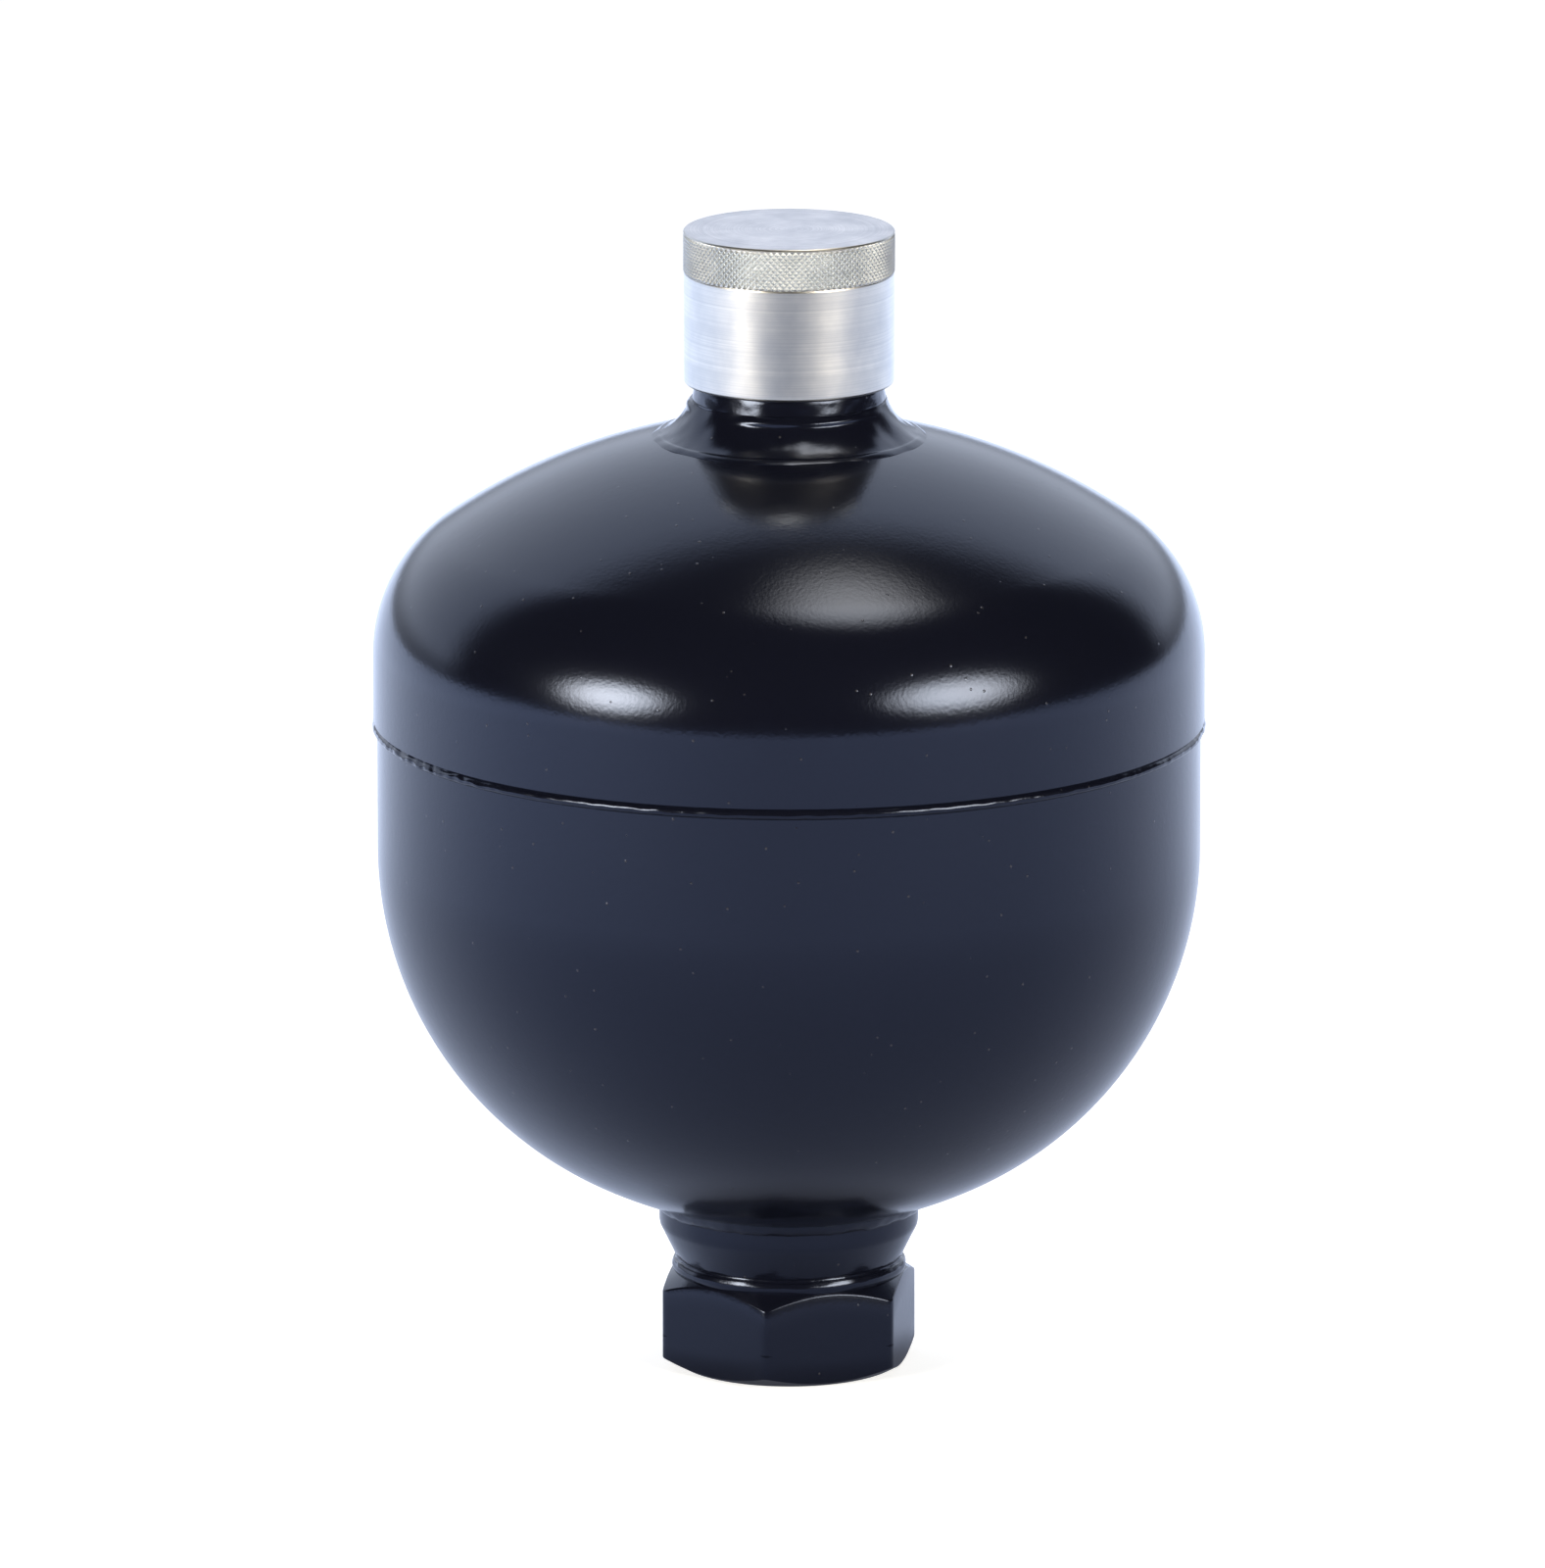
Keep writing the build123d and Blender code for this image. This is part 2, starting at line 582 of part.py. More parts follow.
# Pin of the core: the collar that the spring lifts, and the foot that carries the seal.
collar_foot_z = collar_top_z - pin_collar_height
with BuildPart() as valve_core_pin:
    with BuildSketch(Plane.XZ):
        with BuildLine():
            collar_radius = core_bore - fit_clearance
            foot_top_z = pin_foot_z + pin_foot_height
            Polyline((0, core_top_z + pin_proud), (pin_radius, core_top_z + pin_proud),
                     (pin_radius, collar_top_z), (collar_radius, collar_top_z),
                     (collar_radius, collar_foot_z), (pin_radius, collar_foot_z),
                     (pin_radius, foot_top_z), (pin_foot_radius, foot_top_z),
                     (pin_foot_radius, pin_foot_z), (0, pin_foot_z), close=True)
        make_face()
    revolve(axis=Axis.Z)
valve_core_pin.part.label = "valve_core_pin"
export_step(valve_core_pin.part, "parts/valve_core_pin.step")

# Rubber seal on the pin's foot, which closes against the barrel's end.
with BuildPart() as valve_core_seal:
    with BuildSketch(Plane.XY.offset(foot_top_z)):
        Circle(pin_foot_radius)
        Circle(pin_radius + fit_clearance, mode=Mode.SUBTRACT)
    extrude(amount=core_seal_height)
valve_core_seal.part.label = "valve_core_seal"
export_step(valve_core_seal.part, "parts/valve_core_seal.step")

# Coil spring of the core, between the barrel's ledge and the pin's collar.
with BuildPart() as valve_core_spring:
    with BuildLine():
        wire_room = spring_wire_radius + fit_clearance
        coil_height = collar_foot_z - spring_seat_z - 2 * wire_room
        coil_radius = (core_bore + pin_radius) / 2
        coil = Helix(pitch=coil_height / spring_turns, height=coil_height, radius=coil_radius,
                     center=(0, 0, spring_seat_z + wire_room))
    with BuildSketch(Plane(origin=coil @ 0, z_dir=coil % 0)):
        RegularPolygon(spring_wire_radius, 6)
    sweep(path=coil, is_frenet=True)
valve_core_spring.part.label = "valve_core_spring"
export_step(valve_core_spring.part, "parts/valve_core_spring.step")

# Seal disc inside the valve cap, pressed on the stem's mouth.
with BuildPart() as valve_cap_seal:
    with BuildSketch(Plane.XY.offset(stem_top_z)):
        Circle(stem_radius)
    extrude(amount=valve_cap_seal_height)
valve_cap_seal.part.label = "valve_cap_seal"
export_step(valve_cap_seal.part, "parts/valve_cap_seal.step")

# Valve cap: fluted, screwed on the stem.
valve_cap_bore = stem_radius + thread_clearance
valve_cap_radius = valve_cap_bore + valve_cap_wall
valve_cap_foot_z = head_top_z + valve_cap_gap
with BuildPart() as valve_cap:
    with BuildSketch(Plane.XY.offset(valve_cap_foot_z)):
        Circle(valve_cap_radius)
        with PolarLocations(valve_cap_radius, valve_cap_flutes):
            RegularPolygon(valve_cap_flute_radius, 4, mode=Mode.SUBTRACT)
    extrude(amount=valve_cap_top_z - valve_cap_foot_z)
    with BuildSketch(Plane.XY.offset(valve_cap_foot_z)):
        Circle(valve_cap_bore)
    extrude(amount=stem_top_z + valve_cap_seal_height - valve_cap_foot_z, mode=Mode.SUBTRACT)
valve_cap.part.label = "valve_cap"
export_step(valve_cap.part, "parts/valve_cap.step")

# Protective cap: turned, with a raised band at the top for the knurl, a threaded skirt and a
# mouth counterbored for the ring.
mouth_bore = neck_thread_radius - neck_relief_depth + 2 * cap_ring_section + 2 * rubber_clearance
mouth_top_z = cap_seat_z + neck_relief_height
thread_end_z = neck_top_z + cap_thread_run_out
cavity_radius = cap_bore - cap_cavity_step
knurl_foot_z = cap_top_z - knurl_height
with BuildPart() as protective_cap:
    with BuildSketch(Plane.XZ):
        with BuildLine():
            knurl_radius = cap_radius + knurl_rise
            Polyline((0, cap_top_z), (knurl_radius, cap_top_z), (knurl_radius, knurl_foot_z),
                     (cap_radius, knurl_foot_z - knurl_rise), (cap_radius, cap_seat_z),
                     (mouth_bore, cap_seat_z), (mouth_bore, mouth_top_z), (cap_bore, mouth_top_z),
                     (cap_bore, thread_end_z), (cavity_radius, thread_end_z),
                     (cavity_radius, cap_ceiling_z), (0, cap_ceiling_z), close=True)
        make_face()
    revolve(axis=Axis.Z)
    outer_rims = protective_cap.edges().filter_by(GeomType.CIRCLE).group_by(
        lambda edge: edge.radius)
    top_rim = outer_rims[-1].sort_by(Axis.Z)[-1]
    foot_rim = outer_rims[-2].sort_by(Axis.Z)[0]
    fillet([top_rim, foot_rim], cap_edge_round)
protective_cap.part.label = "protective_cap"
export_step(protective_cap.part, "parts/protective_cap.step")

# Dirt ring between the neck's relief and the cap's mouth.
with BuildPart() as cap_ring:
    with BuildSketch(Plane.XZ):
        cap_ring_middle = neck_thread_radius - neck_relief_depth + cap_ring_section
        with Locations((cap_ring_middle + rubber_clearance, (cap_seat_z + mouth_top_z) / 2)):
            Circle(cap_ring_section)
    revolve(axis=Axis.Z)
cap_ring.part.label = "cap_ring"
export_step(cap_ring.part, "parts/cap_ring.step")
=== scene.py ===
from math import acos, atan2, cos, degrees, pi, radians, sin, sqrt, tau

import bmesh
import bpy
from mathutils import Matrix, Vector, noise


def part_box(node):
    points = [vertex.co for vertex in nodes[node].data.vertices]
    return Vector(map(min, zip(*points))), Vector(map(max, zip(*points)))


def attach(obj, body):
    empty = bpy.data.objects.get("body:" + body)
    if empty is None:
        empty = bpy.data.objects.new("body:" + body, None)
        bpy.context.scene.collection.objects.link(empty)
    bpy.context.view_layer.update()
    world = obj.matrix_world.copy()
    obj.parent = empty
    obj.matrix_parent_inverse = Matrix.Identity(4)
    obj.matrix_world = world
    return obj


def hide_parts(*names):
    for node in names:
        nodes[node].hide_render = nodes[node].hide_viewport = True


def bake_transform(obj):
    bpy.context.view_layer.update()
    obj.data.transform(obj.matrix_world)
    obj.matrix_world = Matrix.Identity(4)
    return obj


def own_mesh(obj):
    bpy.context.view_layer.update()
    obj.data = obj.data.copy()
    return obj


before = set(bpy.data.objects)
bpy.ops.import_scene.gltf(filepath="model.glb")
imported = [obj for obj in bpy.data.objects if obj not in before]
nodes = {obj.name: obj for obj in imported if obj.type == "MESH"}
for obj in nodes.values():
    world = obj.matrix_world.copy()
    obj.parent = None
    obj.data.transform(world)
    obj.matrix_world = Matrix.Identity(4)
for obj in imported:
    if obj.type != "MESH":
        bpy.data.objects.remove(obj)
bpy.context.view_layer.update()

scene = bpy.context.scene
scene.view_settings.view_transform = "Standard"


# Camera. It looks a little down at the vessel with a long lens, from where one corner of the
# hexagonal port points at it, a few degrees to the left.
view_azimuth = radians(10)
view_elevation = radians(13)
view_distance = 2.6
view_height = 0.200
aim_height = 0.0757
aim_left = 0.0021
sensor_size = 36.0


def seen_from_front(azimuth, elevation, distance):
    """A point at a distance from the origin. Azimuth turns to the camera's right, in radians."""
    turn = view_azimuth + azimuth
    level = cos(elevation) * distance
    return Vector((sin(turn) * level, -cos(turn) * level, sin(elevation) * distance))


def look_at(thing, target):
    """Turns a camera or lamp so that it faces a point."""
    thing.rotation_euler = (target - thing.location).to_track_quat("-Z", "Y").to_euler()


aim = Vector((-cos(view_azimuth) * aim_left, -sin(view_azimuth) * aim_left, aim_height))
camera = bpy.data.objects.new("camera", bpy.data.cameras.new("camera"))
scene.collection.objects.link(camera)
camera.data.sensor_width = sensor_size
camera.data.lens = sensor_size * view_distance / view_height
camera.location = aim + seen_from_front(0, view_elevation, view_distance)
look_at(camera, aim)
scene.camera = camera


# Studio. A white sweep lies under the vessel and rises behind it, and the room in front is dark,
# which gloss paint shows as a black lens with a sharp lower edge.
def linear(colour):
    """An sRGB hex colour as the linear colour that a shader takes."""
    parts = [int(colour[i:i + 2], 16) / 255 for i in (1, 3, 5)]
    return [p / 12.92 if p <= 0.04045 else ((p + 0.055) / 1.055) ** 2.4 for p in parts] + [1.0]


def add_node(tree, kind, values={}, links={}, **settings):
    """Adds a node to a tree, with its settings, its sockets' values and its sockets' sources."""
    made = tree.nodes.new(kind)
    for name, value in settings.items():
        setattr(made, name, value)
    for socket, value in values.items():
        made.inputs[socket].default_value = value
    for socket, source in links.items():
        tree.links.new(source, made.inputs[socket])
    return made


sweep_white = linear("#CDD0D4")
sweep_light = linear("#E2ECFF")
dark_room = linear("#05060A")
sweep_level = 1.4
sweep_edge = (0.36, 0.56)
sweep_turn = radians(10)
sweep_bend, sweep_foot = 0.16, 0.35

studio = bpy.data.worlds.new("studio")
scene.world = studio
studio.use_nodes = True
tree = studio.node_tree
tree.nodes.clear()
way = add_node(tree, "ShaderNodeTexCoord")
behind = add_node(tree, "ShaderNodeVectorMath", {1: -seen_from_front(sweep_turn, 0, 1)},
                  {0: way.outputs["Generated"]}, operation="DOT_PRODUCT")
sweep = add_node(tree, "ShaderNodeMapRange", {1: sweep_edge[0], 2: sweep_edge[1]},
                 {0: behind.outputs["Value"]}, interpolation_type="SMOOTHSTEP")
parts = add_node(tree, "ShaderNodeSeparateXYZ", {}, {0: way.outputs["Generated"]})
low = add_node(tree, "ShaderNodeMapRange", {1: 0.0, 2: sweep_bend, 3: sweep_foot, 4: 1.0},
               {0: parts.outputs[2]}, interpolation_type="SMOOTHSTEP")
share = add_node(tree, "ShaderNodeMath", {}, {0: sweep.outputs["Result"],
                 1: low.outputs["Result"]}, operation="MULTIPLY")
room = add_node(tree, "ShaderNodeMix", {"A": dark_room, "B": sweep_light},
                {"Factor": share.outputs[0]}, data_type="RGBA")
lit = add_node(tree, "ShaderNodeBackground", {"Strength": sweep_level},
               {"Color": room.outputs["Result"]})
seen = add_node(tree, "ShaderNodeBackground", {"Color": (1, 1, 1, 1), "Strength": 1.0})
path = add_node(tree, "ShaderNodeLightPath")
both = add_node(tree, "ShaderNodeMixShader", {}, {0: path.outputs["Is Camera Ray"],
                1: lit.outputs[0], 2: seen.outputs[0]})
add_node(tree, "ShaderNodeOutputWorld", {}, {"Surface": both.outputs[0]})


def new_material(name):
    """A material with a Principled shader on its output. Returns it with its tree and shader."""
    material = bpy.data.materials.new(name)
    material.use_nodes = True
    material.node_tree.nodes.clear()
    shader = add_node(material.node_tree, "ShaderNodeBsdfPrincipled")
    add_node(material.node_tree, "ShaderNodeOutputMaterial", {}, {"Surface": shader.outputs[0]})
    return material, material.node_tree, shader


def new_piece(name, mesh):
    """Puts a mesh in the scene as an object at the origin."""
    piece = bpy.data.objects.new(name, mesh)
    scene.collection.objects.link(piece)
    return piece


# Floor: white paper, a hair below the vessel's foot. In the lacquer's mirror it takes a darker,
# bluer copy of its colour as painted shade, a painted shadow near the vessel and painted light
# behind it, where the sweep is lit.
floor_front = 0.74
floor_back = 5.0
floor_side = 3.0
floor_gap = 0.00005
floor_seen = 0.72
# Painted shadow in the mirror: the paper's glow dims towards the vessel, and more just round its
# foot.
floor_mirrored = (0.40, 0.95)
# Painted shade: mirror rays see the paper in this darker, bluer colour.
floor_paper_shaded_in_mirror = linear("#7C839A")
# Painted light: the paper's glow in the mirror is raised behind the vessel, where the sweep is lit,
# and bluer there.
floor_painted_light, floor_painted_light_span = 2.0, (-0.85, 0.60)
floor_painted_shadow_span, floor_painted_shadow_dark = (0.014, 0.028), 0.2
floor_shade = (0.02, 0.62)
floor_tint = linear("#DFE9FF")
floor_tint_behind = linear("#D4E2FD")
floor_paper, tree, shader = new_material("white_paper_sweep")
shader.inputs["Roughness"].default_value = 0.9
shader.inputs["Specular IOR Level"].default_value = 0.0
path = add_node(tree, "ShaderNodeLightPath")
mirrored = add_node(tree, "ShaderNodeMath", {}, {0: path.outputs["Is Glossy Ray"],
                    1: path.outputs["Is Transmission Ray"]}, operation="MAXIMUM")
# Painted shade: mirror rays take the darker copy of the paper's colour.
paper = add_node(tree, "ShaderNodeMix", {"A": sweep_white, "B": floor_paper_shaded_in_mirror},
                 {"Factor": mirrored.outputs[0]}, data_type="RGBA")
tree.links.new(paper.outputs["Result"], shader.inputs["Base Color"])
place = add_node(tree, "ShaderNodeTexCoord")
out = add_node(tree, "ShaderNodeVectorMath", {}, {0: place.outputs["Object"]}, operation="LENGTH")
# Painted shadow: the mirrored glow dims towards the vessel.
shaded = add_node(tree, "ShaderNodeMapRange", {1: floor_shade[0], 2: floor_shade[1],
                  3: floor_mirrored[0], 4: floor_mirrored[1]}, {0: out.outputs["Value"]},
                  interpolation_type="SMOOTHSTEP")
way = add_node(tree, "ShaderNodeVectorMath", {}, {0: place.outputs["Object"]},
               operation="NORMALIZE")
behind = add_node(tree, "ShaderNodeVectorMath", {1: -seen_from_front(sweep_turn * 3, 0, 1)},
                  {0: way.outputs["Vector"]}, operation="DOT_PRODUCT")
# Painted light: the mirrored glow grows behind the vessel.
far = add_node(tree, "ShaderNodeMapRange", {1: floor_painted_light_span[0], 2: floor_painted_light_span[1]},
               {0: behind.outputs["Value"]})
gain = add_node(tree, "ShaderNodeMapRange", {3: 1.0, 4: floor_painted_light}, {0: far.outputs["Result"]})
glow = add_node(tree, "ShaderNodeMath", {}, {0: shaded.outputs["Result"],
                1: gain.outputs["Result"]}, operation="MULTIPLY")
# Painted shadow: darker still just round the vessel's foot.
painted_shadow = add_node(tree, "ShaderNodeMapRange", {1: floor_painted_shadow_span[0], 2: floor_painted_shadow_span[1],
                 3: floor_painted_shadow_dark, 4: 1.0}, {0: out.outputs["Value"]},
                 interpolation_type="SMOOTHSTEP")
for source in (mirrored.outputs[0], painted_shadow.outputs["Result"]):
    glow = add_node(tree, "ShaderNodeMath", {}, {0: source, 1: glow.outputs[0]},
                    operation="MULTIPLY")
shadow_tint = add_node(tree, "ShaderNodeMix", {"A": floor_tint, "B": floor_tint_behind},
                       {"Factor": far.outputs["Result"]}, data_type="RGBA")
level = add_node(tree, "ShaderNodeMix", {"B": floor_seen}, {"Factor": path.outputs["Is Camera Ray"],
                 "A": glow.outputs[0]}, data_type="FLOAT")
tint = add_node(tree, "ShaderNodeMix", {"B": (1, 1, 1, 1)}, {
    "A": shadow_tint.outputs["Result"], "Factor": path.outputs["Is Camera Ray"]}, data_type="RGBA")
tree.links.new(level.outputs["Result"], shader.inputs["Emission Strength"])
tree.links.new(tint.outputs["Result"], shader.inputs["Emission Color"])
ahead = seen_from_front(0, 0, 1)
right = seen_from_front(pi / 2, 0, 1)
down = Vector((0, 0, -floor_gap))
floor_mesh = bpy.data.meshes.new("floor")
floor_mesh.from_pydata([down + ahead * floor_front - right * floor_side,
                        down + ahead * floor_front + right * floor_side,
                        down - ahead * floor_back + right * floor_side,
                        down - ahead * floor_back - right * floor_side], [], [(0, 1, 2, 3)])
floor_mesh.materials.append(floor_paper)
new_piece("floor", floor_mesh)


# Lamps: three cloth-fronted softboxes with warm bulbs, at the left, at the right and above.
lamp_white = linear("#FFF4E0")
lamp_rim, lamp_middle, lamp_peak = 0.5, 0.08, 1.45


def softbox(name, azimuth, elevation, distance, size, level):
    """A cloth-fronted lamp that faces the vessel. Its level is its brightness, where white is 1,
    and it fades from its middle to its rim."""
    lamp = bpy.data.lights.new(name, "AREA")
    lamp.shape = "ELLIPSE"
    lamp.size, lamp.size_y = size
    lamp.color = lamp_white[:3]
    lamp.energy = level * pi * pi / 4 * size[0] * size[1]
    lamp.use_nodes = True
    tree = lamp.node_tree
    tree.nodes.clear()
    spot = add_node(tree, "ShaderNodeNewGeometry")
    out = add_node(tree, "ShaderNodeVectorMath", {1: (0.5, 0.5, 0.0)},
                   {0: spot.outputs["Parametric"]}, operation="DISTANCE")
    fade = add_node(tree, "ShaderNodeMapRange", {1: lamp_rim, 2: lamp_middle, 4: lamp_peak},
                    {0: out.outputs["Value"]}, interpolation_type="SMOOTHSTEP")
    light = add_node(tree, "ShaderNodeEmission", {}, {"Strength": fade.outputs["Result"]})
    add_node(tree, "ShaderNodeOutputLight", {}, {0: light.outputs[0]})
    placed = bpy.data.objects.new(name, lamp)
    scene.collection.objects.link(placed)
    placed.location = seen_from_front(radians(azimuth), radians(elevation), distance)
    placed.location.z += aim_height
    look_at(placed, aim)


softbox("softbox_left", -50, 13, 1.3, (0.92, 0.60), 23)
softbox("softbox_right", 47, 16, 1.3, (1.16, 0.66), 16)
softbox("softbox_above", 96, 80, 1.2, (0.86, 0.70), 5.4)


# Black lacquer on the vessel: an alkyd enamel sprayed on the shells after welding and stoved. It
# is glossy with a fine orange peel, a blue cast where it mirrors the room, and a few dust nibs.
lacquer, tree, shader = new_material("black_stoving_lacquer")
lacquer_black = linear("#0E101B")
dust_grey = linear("#36363B")
peel_size, peel_height = 0.0016, 0.000008
grain_size, grain_height = 0.00045, 0.00001
haze_size, haze_gloss = 0.02, (0.12, 0.20)
dust_spacing, nib_height = 0.0022, 0.00002
nib_rim, nib_floor = (0.045, 0.09), 0.45
shader.inputs["Base Color"].default_value = lacquer_black
shader.inputs["IOR"].default_value = 1.5
shader.inputs["Specular Tint"].default_value = linear("#C3D3F6")
place = add_node(tree, "ShaderNodeTexCoord")
peel = add_node(tree, "ShaderNodeTexNoise", {"Scale": 1 / peel_size, "Detail": 2.0},
                {"Vector": place.outputs["Object"]})
grain = add_node(tree, "ShaderNodeTexNoise", {"Scale": 1 / grain_size, "Detail": 1.0},
                 {"Vector": place.outputs["Object"]})
haze = add_node(tree, "ShaderNodeTexNoise", {"Scale": 1 / haze_size, "Detail": 3.0},
                {"Vector": place.outputs["Object"]})
gloss = add_node(tree, "ShaderNodeMapRange", {3: haze_gloss[0], 4: haze_gloss[1]},
                 {0: haze.outputs["Fac"]})
tree.links.new(gloss.outputs["Result"], shader.inputs["Roughness"])
nib = add_node(tree, "ShaderNodeTexVoronoi", {"Scale": 1 / dust_spacing},
               {"Vector": place.outputs["Object"]})
nib_far = add_node(tree, "ShaderNodeMapRange", {1: nib_rim[0], 2: nib_rim[1], 3: 1.0, 4: 0.0},
                   {0: nib.outputs["Distance"]})
nib_pick = add_node(tree, "ShaderNodeSeparateColor", {}, {0: nib.outputs["Color"]})
nib_here = add_node(tree, "ShaderNodeMath", {1: nib_floor}, {0: nib_pick.outputs[0]},
                    operation="GREATER_THAN")
nibs = add_node(tree, "ShaderNodeMath", {}, {0: nib_far.outputs["Result"],
                1: nib_here.outputs[0]}, operation="MULTIPLY")
shade = add_node(tree, "ShaderNodeMix", {"A": lacquer_black, "B": dust_grey},
                 {"Factor": nibs.outputs[0]}, data_type="RGBA")
tree.links.new(shade.outputs["Result"], shader.inputs["Base Color"])
wave = add_node(tree, "ShaderNodeBump", {"Strength": 1.0, "Distance": peel_height},
                {"Height": peel.outputs["Fac"]})
fine = add_node(tree, "ShaderNodeBump", {"Strength": 1.0, "Distance": grain_height},
                {"Height": grain.outputs["Fac"], "Normal": wave.outputs["Normal"]})
lump = add_node(tree, "ShaderNodeBump", {"Strength": 1.0, "Distance": nib_height},
                {"Height": nibs.outputs[0], "Normal": fine.outputs["Normal"]})
tree.links.new(lump.outputs["Normal"], shader.inputs["Normal"])


# Bare steel inside the shells: the mill surface of the pressings, grey and a little streaky.
mill_steel, tree, shader = new_material("pressed_steel_inside")
blotch_size = 0.006
place = add_node(tree, "ShaderNodeTexCoord")
blotch = add_node(tree, "ShaderNodeTexNoise", {"Scale": 1 / blotch_size, "Detail": 5.0},
                  {"Vector": place.outputs["Object"]})
scale_colour = add_node(tree, "ShaderNodeMix", {"A": linear("#6E6D6B"), "B": linear("#9C9B98")},
                        {"Factor": blotch.outputs["Fac"]}, data_type="RGBA")
tree.links.new(scale_colour.outputs["Result"], shader.inputs["Base Color"])
shader.inputs["Metallic"].default_value = 1.0
shader.inputs["Roughness"].default_value = 0.5


# Lower shell: the bowl, deep drawn from 4.5 mm steel sheet, with a flat spot round the hole for
# the port and a stepped mouth that holds the diaphragm's rim.
def arc(centre, radius, start, end, steps):
    """Points of an arc in radius and height, from one angle above level to another, in degrees."""
    turns = [radians(start + (end - start) * i / steps) for i in range(steps + 1)]
    return [(centre[0] + radius * cos(turn), centre[1] + radius * sin(turn)) for turn in turns]


def dished_end(knuckle_centre, knuckle, crown, rim, way, steps):
    """Outline of a pressed end from its skirt over the knuckle and the crown to a rim on the
    crown. way is 1 for a dome and -1 for a bowl."""
    inset, level = knuckle_centre
    rise = sqrt((crown - knuckle) ** 2 - inset ** 2)
    turn = degrees(atan2(rise, inset))
    end = degrees(acos(rim / crown))
    crown_centre = (0, level - way * rise)
    return (arc(knuckle_centre, knuckle, 0, way * turn, steps)
            + arc(crown_centre, crown, way * turn, way * end, steps)[1:])


def turned(name, skins, sides=256, sharp=30, stray=lambda radius, height, turn: (radius, height)):
    """A piece turned about the vessel's axis. skins lists each stretch of its closed outline, in
    radius and height, with the material that covers it. stray moves a point off that outline."""
    outline = [(point, index) for index, (material, points) in enumerate(skins) for point in points]
    form = bmesh.new()
    rings = []
    for point, index in outline:
        ring = []
        for turn in [tau * i / sides for i in range(sides if point[0] > 1e-7 else 1)]:
            radius, height = stray(*point, turn)
            ring.append(form.verts.new((radius * cos(turn), radius * sin(turn), height)))
        rings.append(ring)
    for j, ring in enumerate(rings):
        after = rings[(j + 1) % len(rings)]
        for i in range(sides):
            corners = [ring[i % len(ring)], ring[(i + 1) % len(ring)],
                       after[(i + 1) % len(after)], after[i % len(after)]]
            corners = list(dict.fromkeys(corners))
            if len(corners) > 2:
                form.faces.new(corners).material_index = outline[j][1]
    return finished(name, form, [material for material, points in skins], sharp)


def finished(name, form, materials, sharp):
    """Turns a bmesh into a piece: faces outwards, smooth but for edges over the sharp angle."""
    bmesh.ops.remove_doubles(form, verts=form.verts, dist=1e-7)
    bmesh.ops.recalc_face_normals(form, faces=form.faces)
    for face in form.faces:
        face.smooth = True
    for edge in form.edges:
        edge.smooth = edge.calc_face_angle(0) < radians(sharp)
    mesh = bpy.data.meshes.new(name)
    form.to_mesh(mesh)
    form.free()
    for material in materials:
        mesh.materials.append(material)
    return new_piece(name, mesh)


shell_wall = 0.0045
lower_inset, lower_knuckle, lower_crown = 0.0050, 0.0475, 0.0584
port_neck_radius, port_spigot_radius = 0.0148, 0.0110
groove_root, groove_half_width = 0.0503, 0.00065
mouth_radius, ledge_depth = 0.0492, 0.0090
port_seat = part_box("lower_shell")[0].z
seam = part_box("lower_shell")[1].z
lower_radius = lower_inset + lower_knuckle
lower_crown_level = port_seat + sqrt(lower_crown ** 2 - port_neck_radius ** 2)
lower_level = lower_crown_level - sqrt((lower_crown - lower_knuckle) ** 2 - lower_inset ** 2)
lower_centre = (lower_inset, lower_level)
lower_outside = dished_end(lower_centre, lower_knuckle, lower_crown, port_neck_radius, -1, 56)
lower_inside = dished_end(lower_centre, lower_knuckle - shell_wall, lower_crown - shell_wall,
                          port_spigot_radius, -1, 20)
lower_shell = turned("lower_shell_pressing", [
    (lacquer, [(groove_root, seam), (lower_radius, seam - groove_half_width),
               (lower_radius, (seam + lower_level) / 2)] + lower_outside),
    (mill_steel, [(port_spigot_radius, port_seat)] + lower_inside[::-1]
     + [(lower_radius - shell_wall, seam - ledge_depth), (mouth_radius, seam - ledge_depth),
        (mouth_radius, seam)])])
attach(lower_shell, "vessel")
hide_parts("lower_shell")


# Upper shell: the dome, pressed from the same sheet, with a short straight skirt that a clamp
# band can grip and a flat spot and hole for the gas neck.
upper_inset, upper_knuckle, upper_crown = 0.0336, 0.0194, 0.0785
neck_radius, neck_spigot_radius = 0.01245, 0.0080
neck_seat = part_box("upper_shell")[1].z
upper_radius = upper_inset + upper_knuckle
upper_crown_level = neck_seat - sqrt(upper_crown ** 2 - neck_radius ** 2)
upper_level = upper_crown_level + sqrt((upper_crown - upper_knuckle) ** 2 - upper_inset ** 2)
upper_centre = (upper_inset, upper_level)
upper_outside = dished_end(upper_centre, upper_knuckle, upper_crown, neck_radius, 1, 56)
upper_inside = dished_end(upper_centre, upper_knuckle - shell_wall, upper_crown - shell_wall,
                          neck_spigot_radius, 1, 20)
upper_shell = turned("upper_shell_pressing", [
    (lacquer, [(groove_root, seam), (upper_radius, seam + groove_half_width),
               (upper_radius, (seam + upper_level) / 2)] + upper_outside),
    (mill_steel, [(neck_spigot_radius, neck_seat)] + upper_inside[::-1]
     + [(upper_radius - shell_wall, seam)])])
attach(upper_shell, "vessel")
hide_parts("upper_shell")


